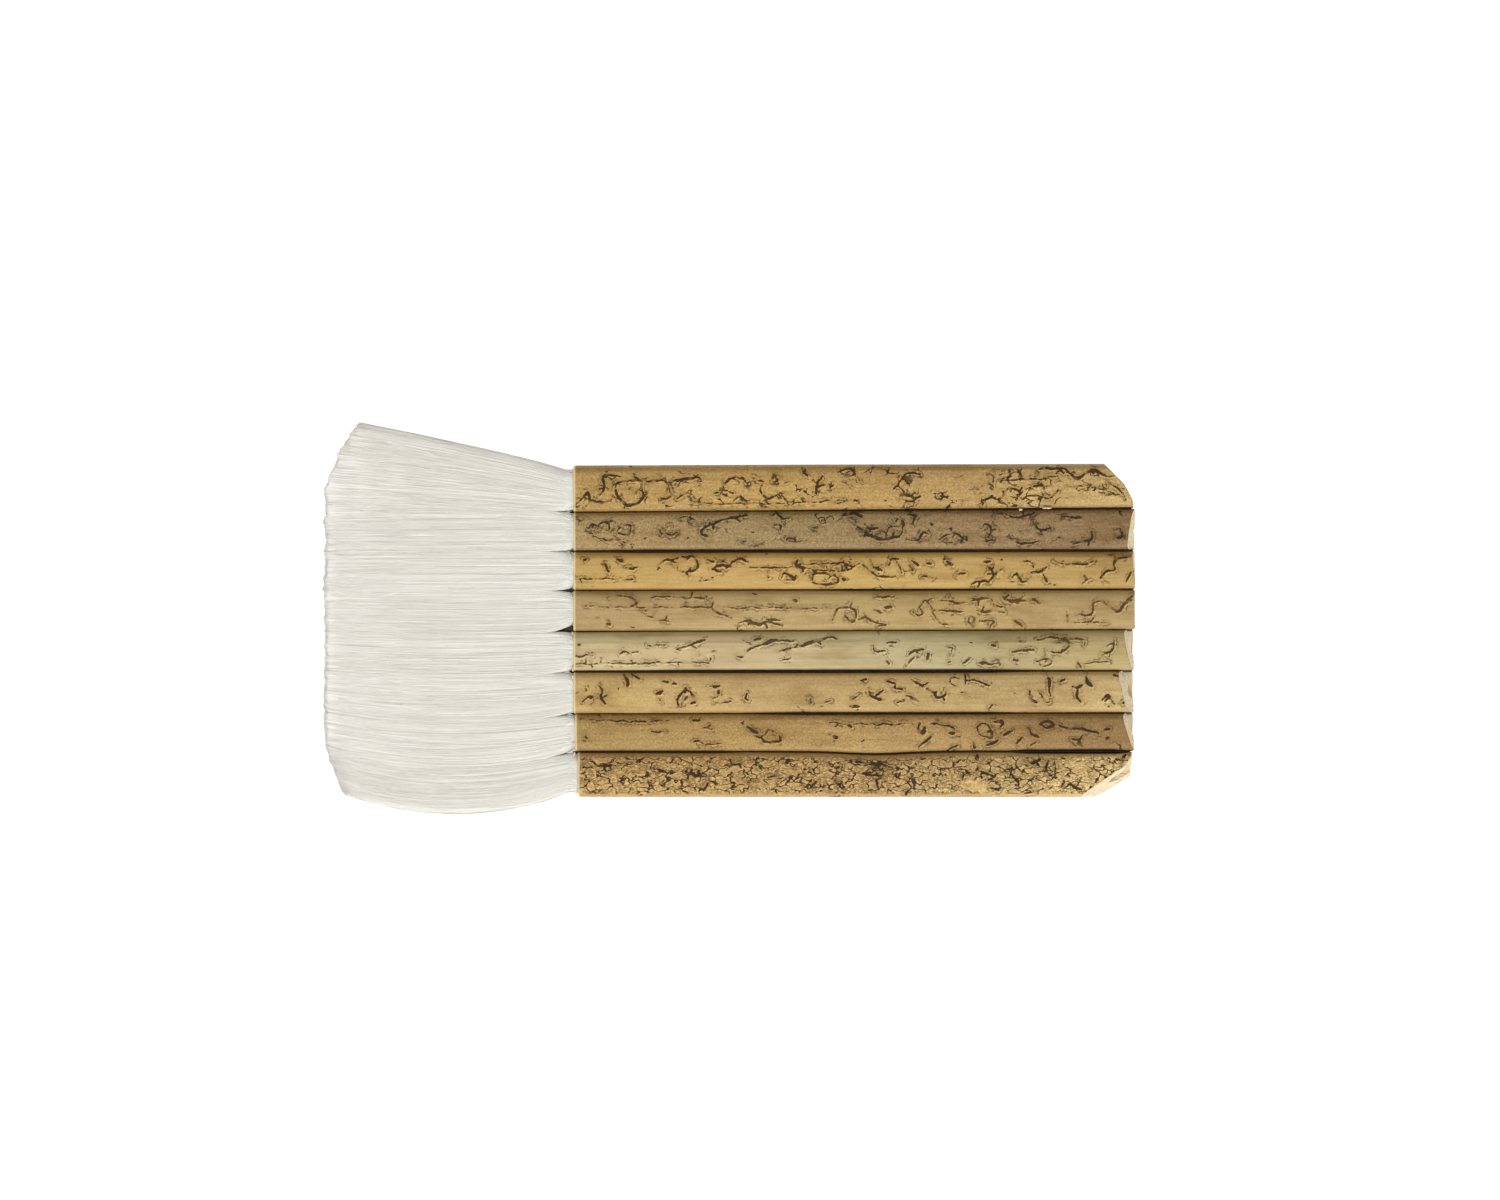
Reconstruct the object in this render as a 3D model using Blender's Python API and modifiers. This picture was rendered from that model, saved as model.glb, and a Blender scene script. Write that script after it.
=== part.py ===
"""Flat calligraphy wash brush: eight bamboo stems side by side, a tuft of hair in each.

Metres, +Z up. The brush lies flat: X runs along it, hair towards -X and tail towards
+X, and Y runs across the row of stems. The origin is on the table, under the middle.
"""
import math
from collections import namedtuple

import bmesh
import bpy
from mathutils import Matrix, Vector

MM = 0.001

# Driving dimensions of the whole brush
OVERALL_LENGTH = 166.4 * MM
OVERALL_WIDTH = 80.6 * MM
HANDLE_LENGTH = 114.8 * MM
HALF_THICKNESS = 4.0 * MM
PIECE_GAP = 0.3 * MM

# Stems, +Y side first: width at the hair end and at the tail end
STEM_WIDTHS = [
    (9.3 * MM, 8.9 * MM),
    (7.7 * MM, 8.3 * MM),
    (7.7 * MM, 7.7 * MM),
    (8.1 * MM, 7.9 * MM),
    (7.9 * MM, 8.1 * MM),
    (8.3 * MM, 8.3 * MM),
    (7.5 * MM, 7.6 * MM),
    (9.0 * MM, 9.1 * MM),
]
MOUTH_SETBACKS = [0.0, 0.0, 0.0, 0.0, 0.0, 0.0, 0.3 * MM, 0.9 * MM]
TAIL_SETBACKS = [0.3 * MM, 0.0, 0.0, 0.0, 0.2 * MM, 0.2 * MM, 0.2 * MM, 0.6 * MM]
ROW_TOP_HAIR_END = 31.0 * MM
ROW_TOP_TAIL_END = 31.4 * MM
PLANED_SHARE = 0.94
STEM_SEGMENTS = 28
END_BEVEL = 0.4 * MM

# Inside a stem
PITH_BORE_RADIUS = 1.7 * MM
SOCKET_WALL = 0.8 * MM
SOCKET_DEPTH = 13.5 * MM
BORE_SEGMENTS = 18
CUT_OVERRUN = 2.0 * MM

# Cross pins through the row
PIN_RADIUS = 1.25 * MM
PIN_XS = {"front": 3.5 * MM, "rear": 65.0 * MM}
PIN_RECESS = 0.15 * MM

# Corners cut off the two outer stems at the tail: length along X, depth along Y, tilt
CORNER_CUTS = {
    0: (6.3 * MM, 7.4 * MM, math.radians(2.0)),
    7: (8.4 * MM, 7.2 * MM, math.radians(14.0)),
}
CORNER_CUTTER_SIZE = 30.0 * MM

# Rosin plug, bound root and thread binding
PLUG_THICKNESS = 1.6 * MM
PLUG_NOSE_LENGTH = 1.8 * MM
BINDING_THICKNESS = 0.45 * MM
BINDING_OFFSET = 2.0 * MM
BINDING_TURNS = 4
BINDING_PITCH = 1.0 * MM
BINDING_GROOVE = 0.15 * MM
INNER_SEGMENTS = 12

# Free hair: outlines of the fanned head, from the mouth to the cut tip
HEAD_TOP_AT_MOUTH = 30.55 * MM
HEAD_BOTTOM_AT_MOUTH = -36.45 * MM
BULGE_STATION = 0.52
TIP_STRAIGHT_HALF = 24.0 * MM
TIP_CORNER_SETBACK = 6.4 * MM
TIP_CORNER_POWER = 1.6
NOTCH_LENGTH = 5.0 * MM
NOTCH_HALF_WIDTH = 0.45 * MM
NOSE_RADIUS = 3.5 * MM
NOSE_ANGLES = [15.0, 38.0, 64.0]
NOSE_NARROWING = 0.1
TUFT_SEGMENTS = 16
TUFT_STATIONS = [0.0, 0.08, 0.2, 0.36, 0.52, 0.68, 0.84, 0.96, 1.0]
TUFT_HALF_THICKNESS = [
    (0.0, NOSE_RADIUS),
    (0.14, 3.8 * MM),
    (0.4, 3.75 * MM),
    (0.7, 3.2 * MM),
    (0.96, 2.5 * MM),
    (1.0, 1.7 * MM),
]
SECTION_EXPONENT = 3.4

TAIL_X = OVERALL_LENGTH / 2.0
MOUTH_X = TAIL_X - HANDLE_LENGTH
TIP_X = -OVERALL_LENGTH / 2.0
STEM_COUNT = len(STEM_WIDTHS)
HINGE_X = MOUTH_X - PIECE_GAP - NOSE_RADIUS

MATERIALS = {
    "bamboo": ((0.47, 0.32, 0.13, 1.0), 0.55),
    "pin_bamboo": ((0.55, 0.42, 0.22, 1.0), 0.6),
    "hair": ((0.78, 0.75, 0.68, 1.0), 0.65),
    "thread": ((0.55, 0.47, 0.34, 1.0), 0.8),
    "rosin": ((0.22, 0.08, 0.02, 1.0), 0.25),
}


def clear_scene():
    for obj in list(bpy.data.objects):
        bpy.data.objects.remove(obj, do_unlink=True)


def make_collection(name):
    collection = bpy.data.collections.new(name)
    bpy.context.scene.collection.children.link(collection)
    return collection


def make_material(name):
    colour, roughness = MATERIALS[name]
    material = bpy.data.materials.new(name)
    material.use_nodes = True
    shader = material.node_tree.nodes["Principled BSDF"]
    shader.inputs["Base Color"].default_value = colour
    shader.inputs["Roughness"].default_value = roughness
    shader.inputs["Metallic"].default_value = 0.0
    return material


def add_object(name, mesh, collection, material=None, parent=None):
    obj = bpy.data.objects.new(name, mesh)
    collection.objects.link(obj)
    if material:
        obj.data.materials.append(material)
    if parent:
        obj.parent = parent
    return obj


def add_empty(name, location, yaw, collection):
    empty = bpy.data.objects.new(name, None)
    empty.location = location
    empty.rotation_euler = (0.0, 0.0, yaw)
    collection.objects.link(empty)
    return empty


def as_cutter(obj):
    obj.hide_render = True
    obj.display_type = "WIRE"
    return obj


def cut(obj, cutter):
    boolean = obj.modifiers.new("cut " + cutter.name, "BOOLEAN")
    boolean.operation = "DIFFERENCE"
    boolean.solver = "EXACT"
    boolean.object = cutter


def shade_round(mesh, angle=35.0):
    mesh.shade_smooth()
    mesh.set_sharp_from_angle(angle=math.radians(angle))


def turned_object(name, profile, closed, segments, collection, material=None, parent=None):
    """Turn a profile of (radius, height) points about the local Z axis, then lie it along X."""
    count = len(profile)
    edges = [(i, i + 1) for i in range(count - 1)]
    if closed:
        edges.append((count - 1, 0))
    mesh = bpy.data.meshes.new(name)
    mesh.from_pydata([(radius, 0.0, height) for radius, height in profile], edges, [])
    obj = add_object(name, mesh, collection, material, parent)
    obj.rotation_euler = (0.0, math.radians(90.0), 0.0)
    screw = obj.modifiers.new("turn", "SCREW")
    screw.axis = "Z"
    screw.angle = math.radians(360.0)
    screw.steps = segments
    screw.render_steps = segments
    screw.use_merge_vertices = True
    screw.merge_threshold = 0.00001
    screw.use_smooth_shade = True
    return obj


def interpolate(table, position):
    for (x0, y0), (x1, y1) in zip(table, table[1:]):
        if position <= x1:
            return y0 + (y1 - y0) * (position - x0) / (x1 - x0)
    return table[-1][1]


def row_edges(column):
    """Y of the outer sides of each stem at the hair end (column 0) or tail end (column 1)."""
    edges = []
    side = (ROW_TOP_HAIR_END, ROW_TOP_TAIL_END)[column]
    for widths in STEM_WIDTHS:
        edges.append((side, side - widths[column]))
        side -= widths[column] + PIECE_GAP
    return edges


Stem = namedtuple("Stem", "mouth middle yaw length hair_radius tail_radius")


def stem_layout(index):
    """Where one stem lies in the row, and how thick it is at its two ends."""
    hair_sides = row_edges(0)[index]
    tail_sides = row_edges(1)[index]
    mouth = Vector((MOUTH_X + MOUTH_SETBACKS[index], sum(hair_sides) / 2.0, HALF_THICKNESS))
    tail = Vector((TAIL_X - TAIL_SETBACKS[index], sum(tail_sides) / 2.0, HALF_THICKNESS))
    run = tail - mouth
    hair_width, tail_width = STEM_WIDTHS[index]
    return Stem(
        mouth=mouth, middle=(mouth + tail) / 2.0, yaw=math.atan2(run.y, run.x),
        length=run.length, hair_radius=hair_width / 2.0, tail_radius=tail_width / 2.0)


def stem_blank_mesh(name, stem):
    """A tapered round cane along X, planed flat above and below, its end edges eased."""
    shape = bmesh.new()
    bmesh.ops.create_cone(
        shape, cap_ends=True, segments=STEM_SEGMENTS,
        radius1=stem.hair_radius, radius2=stem.tail_radius, depth=stem.length)
    lie_down = Matrix.Rotation(math.radians(90.0), 4, "Y")
    bmesh.ops.transform(shape, matrix=lie_down, verts=shape.verts)
    for vert in shape.verts:
        radius = stem.hair_radius if vert.co.x < 0.0 else stem.tail_radius
        plane = min(HALF_THICKNESS, PLANED_SHARE * radius)
        vert.co.z = min(max(vert.co.z, -plane), plane)
    end_edges = [
        edge for edge in shape.edges
        if abs(edge.verts[0].co.x - edge.verts[1].co.x) < stem.length / 2.0]
    bmesh.ops.bevel(
        shape, geom=end_edges, offset=END_BEVEL, offset_type="OFFSET",
        segments=1, affect="EDGES", clamp_overlap=True)
    bmesh.ops.recalc_face_normals(shape, faces=shape.faces)
    mesh = bpy.data.meshes.new(name)
    shape.to_mesh(mesh)
    shape.free()
    shade_round(mesh)
    return mesh


def make_bore_cutter(index, stem, axis, collection):
    """The drilled socket at the hair end, running into the cane's own hollow."""
    socket_radius = stem.hair_radius - SOCKET_WALL
    mouth = -stem.length / 2.0
    tail = stem.length / 2.0
    profile = [
        (0.0, tail + CUT_OVERRUN),
        (PITH_BORE_RADIUS, tail + CUT_OVERRUN),
        (PITH_BORE_RADIUS, mouth + SOCKET_DEPTH),
        (socket_radius, mouth + SOCKET_DEPTH),
        (socket_radius, mouth - CUT_OVERRUN),
        (0.0, mouth - CUT_OVERRUN),
    ]
    name = "bore_cutter_" + str(index + 1)
    return as_cutter(turned_object(name, profile, False, BORE_SEGMENTS, collection, parent=axis))


def make_pin_hole_cutter(place, collection):
    """One round cutter through the whole row, a gap wider than its pin."""
    shape = bmesh.new()
    radius = PIN_RADIUS + PIECE_GAP
    bmesh.ops.create_cone(
        shape, cap_ends=True, segments=INNER_SEGMENTS,
        radius1=radius, radius2=radius, depth=OVERALL_WIDTH * 1.2)
    mesh = bpy.data.meshes.new("pin_hole_cutter_" + place)
    shape.to_mesh(mesh)
    shape.free()
    obj = add_object("pin_hole_cutter_" + place, mesh, collection)
    obj.location = (PIN_XS[place], 0.0, HALF_THICKNESS)
    obj.rotation_euler = (math.radians(90.0), 0.0, 0.0)
    return as_cutter(obj)


def make_corner_cutter(index, collection):
    """A block whose inner face cuts the outer tail corner off an outer stem."""
    along, across, tilt = CORNER_CUTS[index]
    side = 1.0 if index == 0 else -1.0
    outer_y = row_edges(1)[index][0 if index == 0 else 1]
    start = Vector((TAIL_X - along, outer_y, HALF_THICKNESS))
    end = Vector((TAIL_X, outer_y - side * across, HALF_THICKNESS))
    run = (end - start).normalized()
    outward = Vector((-run.y, run.x, 0.0)) * side
    shape = bmesh.new()
    bmesh.ops.create_cube(shape, size=CORNER_CUTTER_SIZE)
    name = "corner_cutter_" + str(index + 1)
    mesh = bpy.data.meshes.new(name)
    shape.to_mesh(mesh)
    shape.free()
    obj = add_object(name, mesh, collection)
    lean = Matrix.Rotation(side * tilt, 4, run)
    spin = Matrix.Rotation(math.atan2(outward.y, outward.x), 4, "Z")
    normal = lean @ outward
    middle = (start + end) / 2.0 + normal * (CORNER_CUTTER_SIZE / 2.0)
    obj.matrix_world = Matrix.Translation(middle) @ lean @ spin
    return as_cutter(obj)


def make_stem(index, axis, collection, cutters, material):
    """One bamboo stem: blank, socket and hollow, two pin holes, and a cut outer corner."""
    stem = stem_layout(index)
    name = "stem_" + str(index + 1)
    obj = add_object(name, stem_blank_mesh(name, stem), collection, material, axis)
    cut(obj, make_bore_cutter(index, stem, axis, cutters["collection"]))
    cut(obj, cutters["front"])
    cut(obj, cutters["rear"])
    if index in CORNER_CUTS:
        cut(obj, make_corner_cutter(index, cutters["collection"]))
    return obj


def make_plug(index, axis, collection, material):
    """Rosin run onto the socket's floor, with a nose set in the cane's hollow."""
    stem = stem_layout(index)
    floor = -stem.length / 2.0 + SOCKET_DEPTH - PIECE_GAP
    disc_radius = stem.hair_radius - SOCKET_WALL - PIECE_GAP
    nose_radius = PITH_BORE_RADIUS - PIECE_GAP
    profile = [
        (0.0, floor + PLUG_NOSE_LENGTH),
        (nose_radius, floor + PLUG_NOSE_LENGTH),
        (nose_radius, floor),
        (disc_radius, floor),
        (disc_radius, floor - PLUG_THICKNESS),
        (0.0, floor - PLUG_THICKNESS),
    ]
    name = "plug_" + str(index + 1)
    return turned_object(name, profile, False, INNER_SEGMENTS, collection, material, axis)


def root_radii(stem):
    """Outer radius of a root, and the waist that its binding draws in."""
    outer = stem.hair_radius - SOCKET_WALL - PIECE_GAP
    return outer, outer - BINDING_THICKNESS - PIECE_GAP


def root_butt(stem):
    """Height of a root's butt end, just clear of the plug."""
    return -stem.length / 2.0 + SOCKET_DEPTH - PLUG_THICKNESS - 2.0 * PIECE_GAP


def make_root(index, axis, collection, material):
    """The bound butt of a tuft, from the plug to just short of the free hair."""
    stem = stem_layout(index)
    outer, waist = root_radii(stem)
    butt = root_butt(stem)
    front = -stem.length / 2.0 + MOUTH_X - stem.mouth.x
    waist_high = butt - BINDING_OFFSET + PIECE_GAP
    waist_low = butt - BINDING_OFFSET - BINDING_TURNS * BINDING_PITCH - PIECE_GAP
    profile = [
        (0.0, butt),
        (outer, butt),
        (outer, waist_high + 2.0 * PIECE_GAP),
        (waist, waist_high),
        (waist, waist_low),
        (outer, waist_low - 2.0 * PIECE_GAP),
        (outer, front + PIECE_GAP),
        (outer - PIECE_GAP, front),
        (0.0, front),
    ]
    name = "root_" + str(index + 1)
    return turned_object(name, profile, False, INNER_SEGMENTS, collection, material, axis)


def make_binding(index, axis, collection, material):
    """Turns of thread wound side by side in the root's waist, as one ribbed band."""
    stem = stem_layout(index)
    outer, waist = root_radii(stem)
    top = root_butt(stem) - BINDING_OFFSET
    inner = waist + PIECE_GAP
    profile = [(inner, top)]
    for turn in range(BINDING_TURNS):
        crest = top - (turn + 0.5) * BINDING_PITCH
        profile.append((outer - BINDING_GROOVE, crest + BINDING_PITCH / 2.0))
        profile.append((outer, crest))
    bottom = top - BINDING_TURNS * BINDING_PITCH
    profile.append((outer - BINDING_GROOVE, bottom))
    profile.append((inner, bottom))
    name = "binding_" + str(index + 1)
    return turned_object(name, profile, True, INNER_SEGMENTS, collection, material, axis)


def make_cross_pin(place, collection, material):
    """A round split-bamboo skewer through the row, its ends just under the outer sides."""
    share = (PIN_XS[place] - MOUTH_X) / HANDLE_LENGTH
    top_sides = [row_edges(column)[0][0] for column in (0, 1)]
    bottom_sides = [row_edges(column)[-1][1] for column in (0, 1)]
    top = top_sides[0] + (top_sides[1] - top_sides[0]) * share - PIN_RECESS
    bottom = bottom_sides[0] + (bottom_sides[1] - bottom_sides[0]) * share + PIN_RECESS
    shape = bmesh.new()
    bmesh.ops.create_cone(
        shape, cap_ends=True, segments=INNER_SEGMENTS,
        radius1=PIN_RADIUS, radius2=PIN_RADIUS, depth=top - bottom)
    name = "cross_pin_" + place
    mesh = bpy.data.meshes.new(name)
    shape.to_mesh(mesh)
    shape.free()
    shade_round(mesh)
    obj = add_object(name, mesh, collection, material)
    obj.location = (PIN_XS[place], (top + bottom) / 2.0, HALF_THICKNESS)
    obj.rotation_euler = (math.radians(90.0), 0.0, 0.0)
    return obj


def head_outline(station):
    """Y of the fanned head's two sides: straight on +Y, bulging on -Y."""
    half = OVERALL_WIDTH / 2.0 + PIECE_GAP / 2.0
    top = HEAD_TOP_AT_MOUTH + (half - HEAD_TOP_AT_MOUTH) * station
    bulge = 1.0 - ((station - BULGE_STATION) / BULGE_STATION) ** 2
    bottom = HEAD_BOTTOM_AT_MOUTH - (half + HEAD_BOTTOM_AT_MOUTH) * bulge
    return top, bottom


def tuft_sides(index, station):
    """Y of one tuft's sides at a station, sharing the fan out between the tufts."""
    top, bottom = head_outline(station)
    edges = row_edges(0)
    seams = [HEAD_TOP_AT_MOUTH]
    for upper, lower in zip(edges, edges[1:]):
        seams.append((upper[1] + lower[0]) / 2.0)
    seams.append(HEAD_BOTTOM_AT_MOUTH)
    sides = []
    for seam in (seams[index], seams[index + 1]):
        share = (HEAD_TOP_AT_MOUTH - seam) / (HEAD_TOP_AT_MOUTH - HEAD_BOTTOM_AT_MOUTH)
        sides.append(top + (bottom - top) * share)
    return sides[0] - PIECE_GAP / 2.0, sides[1] + PIECE_GAP / 2.0


def tip_x(y):
    """X of the cut tip: straight across the middle, eased back at both corners."""
    reach = OVERALL_WIDTH / 2.0 - TIP_STRAIGHT_HALF
    share = max(abs(y) - TIP_STRAIGHT_HALF, 0.0) / reach
    return TIP_X + TIP_CORNER_SETBACK * share ** TIP_CORNER_POWER


def section_point(angle):
    """A point of a unit superellipse, a rectangle with well rounded corners."""
    power = 2.0 / SECTION_EXPONENT
    across = math.copysign(abs(math.cos(angle)) ** power, math.cos(angle))
    upward = math.copysign(abs(math.sin(angle)) ** power, math.sin(angle))
    return across, upward


def tuft_section(index, station):
    """Middle, half width and half thickness of one tuft, from the hinge (0) to the tip (1)."""
    upper, lower = tuft_sides(index, station)
    from_hinge = station * (HINGE_X - TIP_X)
    notch = NOTCH_HALF_WIDTH * max(1.0 - from_hinge / NOTCH_LENGTH, 0.0)
    half_width = (upper - lower) / 2.0 - notch
    return (upper + lower) / 2.0, half_width, interpolate(TUFT_HALF_THICKNESS, station)


def tuft_rings(index):
    """Rings of points from a nose rounded about the hinge axis to the cut tip."""
    points = [section_point(2.0 * math.pi * (i + 0.5) / TUFT_SEGMENTS) for i in range(TUFT_SEGMENTS)]
    rings = []
    centre_y, half_width, half_thickness = tuft_section(index, 0.0)
    for degrees in NOSE_ANGLES:
        turn = math.radians(degrees)
        x = HINGE_X + NOSE_RADIUS * math.cos(turn)
        width = half_width * (1.0 - NOSE_NARROWING * math.cos(turn))
        height = half_thickness * math.sin(turn)
        rings.append([
            Vector((x, centre_y + width * across, HALF_THICKNESS + height * upward))
            for across, upward in points])
    for station in TUFT_STATIONS:
        centre_y, half_width, half_thickness = tuft_section(index, station)
        ring = []
        for across, upward in points:
            y = centre_y + half_width * across
            x = HINGE_X + (tip_x(y) - HINGE_X) * station
            ring.append(Vector((x, y, HALF_THICKNESS + half_thickness * upward)))
        rings.append(ring)
    return rings


def make_tuft(index, hinge, collection, material):
    """Free hair of one stem: a nose round the hinge axis, lofted to the flat cut tip."""
    shape = bmesh.new()
    loops = []
    for ring in tuft_rings(index):
        loops.append([shape.verts.new(point - hinge.location) for point in ring])
    for near, far in zip(loops, loops[1:]):
        for i in range(TUFT_SEGMENTS):
            following = (i + 1) % TUFT_SEGMENTS
            shape.faces.new((near[i], far[i], far[following], near[following]))
    shape.faces.new(loops[0])
    shape.faces.new(loops[-1])
    bmesh.ops.recalc_face_normals(shape, faces=shape.faces)
    name = "tuft_" + str(index + 1)
    mesh = bpy.data.meshes.new(name)
    shape.to_mesh(mesh)
    shape.free()
    shade_round(mesh, 50.0)
    return add_object(name, mesh, collection, material, hinge)


def build_brush():
    clear_scene()
    parts = make_collection("calligraphy_wash_brush")
    cutter_collection = make_collection("cutters")
    guides = make_collection("axes")
    materials = {name: make_material(name) for name in MATERIALS}
    cutters = {"collection": cutter_collection}
    for place in PIN_XS:
        cutters[place] = make_pin_hole_cutter(place, cutter_collection)
    hinge = add_empty("hair_hinge_axis", Vector((HINGE_X, 0.0, HALF_THICKNESS)), 0.0, guides)
    for index in range(STEM_COUNT):
        stem = stem_layout(index)
        axis = add_empty("stem_axis_" + str(index + 1), stem.middle, stem.yaw, guides)
        make_stem(index, axis, parts, cutters, materials["bamboo"])
        make_plug(index, axis, parts, materials["rosin"])
        make_root(index, axis, parts, materials["hair"])
        make_binding(index, axis, parts, materials["thread"])
        make_tuft(index, hinge, parts, materials["hair"])
    for place in PIN_XS:
        make_cross_pin(place, parts, materials["pin_bamboo"])


build_brush()
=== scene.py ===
import math

import bmesh
import bpy
import numpy as np
from mathutils import Matrix, Vector


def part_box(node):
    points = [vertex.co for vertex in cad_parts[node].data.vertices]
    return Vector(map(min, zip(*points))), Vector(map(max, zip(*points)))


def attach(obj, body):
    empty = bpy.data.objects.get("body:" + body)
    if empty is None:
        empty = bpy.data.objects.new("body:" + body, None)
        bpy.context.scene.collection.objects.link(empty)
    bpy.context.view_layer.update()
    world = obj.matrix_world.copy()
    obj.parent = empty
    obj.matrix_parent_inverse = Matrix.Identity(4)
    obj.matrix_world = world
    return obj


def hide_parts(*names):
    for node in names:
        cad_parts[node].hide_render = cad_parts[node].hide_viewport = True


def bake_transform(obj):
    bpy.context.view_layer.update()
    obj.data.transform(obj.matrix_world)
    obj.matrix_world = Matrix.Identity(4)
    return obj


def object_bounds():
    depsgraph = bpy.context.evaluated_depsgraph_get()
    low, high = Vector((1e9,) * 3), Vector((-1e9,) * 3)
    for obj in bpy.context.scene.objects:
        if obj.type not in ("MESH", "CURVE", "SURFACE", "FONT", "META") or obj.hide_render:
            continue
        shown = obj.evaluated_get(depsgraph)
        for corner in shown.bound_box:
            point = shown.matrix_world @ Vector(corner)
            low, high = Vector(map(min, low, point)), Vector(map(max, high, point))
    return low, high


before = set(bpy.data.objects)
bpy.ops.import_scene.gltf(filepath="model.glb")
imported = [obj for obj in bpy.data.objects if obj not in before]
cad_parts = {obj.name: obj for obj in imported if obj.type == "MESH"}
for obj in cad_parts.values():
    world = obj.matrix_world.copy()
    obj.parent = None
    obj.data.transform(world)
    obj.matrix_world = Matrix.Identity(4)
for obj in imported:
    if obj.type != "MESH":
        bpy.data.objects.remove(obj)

cad_low, cad_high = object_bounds()
MM = 0.001

# Camera, table and light
# The brush lies flat on a white table and is seen from straight above through a long lens.
# A broad soft lamp stands low on the -Y side, and white surroundings fill the shadows.
VIEW_WIDTH = 306.75 * MM
VIEW_MIDDLE = (4.5 * MM, 3.6 * MM)
SHARP_HEIGHT = 6.0 * MM
LENS = 120.0
SENSOR = 36.0

camera_data = bpy.data.cameras.new("camera_above")
camera_data.lens = LENS
camera_data.sensor_width = SENSOR
camera_data.clip_end = 20.0
camera = bpy.data.objects.new("camera_above", camera_data)
camera.location = (*VIEW_MIDDLE, SHARP_HEIGHT + VIEW_WIDTH * LENS / SENSOR)
bpy.context.scene.collection.objects.link(camera)
bpy.context.scene.camera = camera
bpy.context.scene.view_settings.view_transform = "Standard"

bpy.ops.mesh.primitive_plane_add(size=6.0, location=(0.0, 0.0, -0.05 * MM))
table = bpy.context.object
table.name = "white_table"
table_paint = bpy.data.materials.new("white_table")
table_paint.use_nodes = True
table_shader = table_paint.node_tree.nodes["Principled BSDF"]
table_shader.inputs["Base Color"].default_value = (0.86, 0.86, 0.86, 1.0)
table_shader.inputs["Roughness"].default_value = 0.9
table_shader.inputs["Emission Color"].default_value = (1.0, 1.0, 1.0, 1.0)
table_shader.inputs["Emission Strength"].default_value = 0.65
table.data.materials.append(table_paint)


def add_lamp(name, place, aim, size, power):
    lamp_data = bpy.data.lights.new(name, "AREA")
    lamp_data.shape = "RECTANGLE"
    lamp_data.size, lamp_data.size_y = size
    lamp_data.energy = power
    lamp = bpy.data.objects.new(name, lamp_data)
    lamp.location = place
    direction = Vector(aim) - Vector(place)
    lamp.rotation_euler = direction.to_track_quat("-Z", "Y").to_euler()
    bpy.context.scene.collection.objects.link(lamp)
    return lamp


add_lamp("soft_key", (0.1, -0.9, 0.75), (0.0, 0.0, 0.0), (0.9, 0.5), 9.5)
add_lamp("soft_top", (-0.3, 0.4, 1.5), (0.0, 0.0, 0.0), (1.2, 1.2), 6.5)
surroundings = bpy.data.worlds.new("white_surroundings")
surroundings.use_nodes = True
surroundings.node_tree.nodes["Background"].inputs["Color"].default_value = (1.0, 1.0, 1.0, 1.0)
surroundings.node_tree.nodes["Background"].inputs["Strength"].default_value = 0.4
bpy.context.scene.world = surroundings


# Bamboo stems
# Eight lengths of thin brush cane with their skin left on. They are planed flat above and below and
# fitted close side by side, drilled at the hair end for the tufts, pinned through by two skewers,
# then sawn and sanded pale at the tail, where the two outer corners are cut away.
STEM_COUNT = 8
STEP_ALONG = 0.28 * MM
TOP_POINTS, SIDE_POINTS, UNDER_POINTS = 38, 18, 24
RIM_ROUNDING = 0.3 * MM
RIM_ANGLES = [0.0, 25.0, 50.0, 75.0]
SOCKET_WALL = 0.5 * MM
SOCKET_DEPTH = 13.5 * MM
HOLLOW_RADIUS = 1.7 * MM
SECTION_FULLNESS = 4.6
PIN_HOLE_RADIUS = 1.45 * MM
PIN_HOLE_XS = (3.5 * MM, 65.0 * MM)
HOLE_SEGMENTS = 32
CUTTER_SIZE = 30.0 * MM
# Each corner cut's length along the outer side and across the tail, and its lean, in mm and degrees
CORNERS = {0: [(6.2, 6.25, 2.0), (4.5, 8.0, 2.0)], 7: [(9.2, 6.1, 20.0), (5.0, 7.4, 18.0)]}
# How far the sanding reaches along each stem from its tail, how deep, and how askew
SANDED = [(0.5, 1.5, 0.0), (1.3, 2.6, -0.15), (0.35, 1.0, 0.1), (0.3, 1.0, 0.0),
          (1.6, 3.0, 0.2), (2.6, 4.0, 0.25), (1.5, 2.6, 0.3), (0.6, 1.2, 0.0)]
# Each seam's dark line, dirt in the joint and painted shade of its narrow groove: mm from the mouth,
# and its width there in mm
SEAM_LINES = [[(0, .1), (40, .1), (60, .25), (113, .3)], [(0, .25), (15, .5), (60, .5), (113, .35)],
              [(0, .1), (50, .15), (60, .3), (113, .25)], [(0, .2), (20, .05), (113, .1)],
              [(0, .3), (25, .5), (85, .55), (95, .2), (113, .2)],
              [(0, .1), (35, .15), (45, .45), (85, .4), (92, .15), (113, .25)],
              [(0, .3), (30, .4), (33, .15), (70, .3), (88, .2), (92, .6), (110, .7), (113, .3)]]
# Width in mm of the painted shade line along each outer side
OUTER_LINE = 0.12
SAG_DEPTH, SAG_X, SAG_REACH = 0.55 * MM, 30.0 * MM, 9.0 * MM
TIGHT_FIT = 0.19
FAR_FROM_SCAR = 1.2
SCAR_STEP = 0.35
SCAR_SHAKE = 0.17
SCAR_BREADTH = 0.5
BRANCH_CHANCE = 0.06
# How far, along and across the stem in mm, the painted highlight beside each scar is shifted from it
LIP_HIGHLIGHT_OFFSET = (0.22, -0.26)


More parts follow.
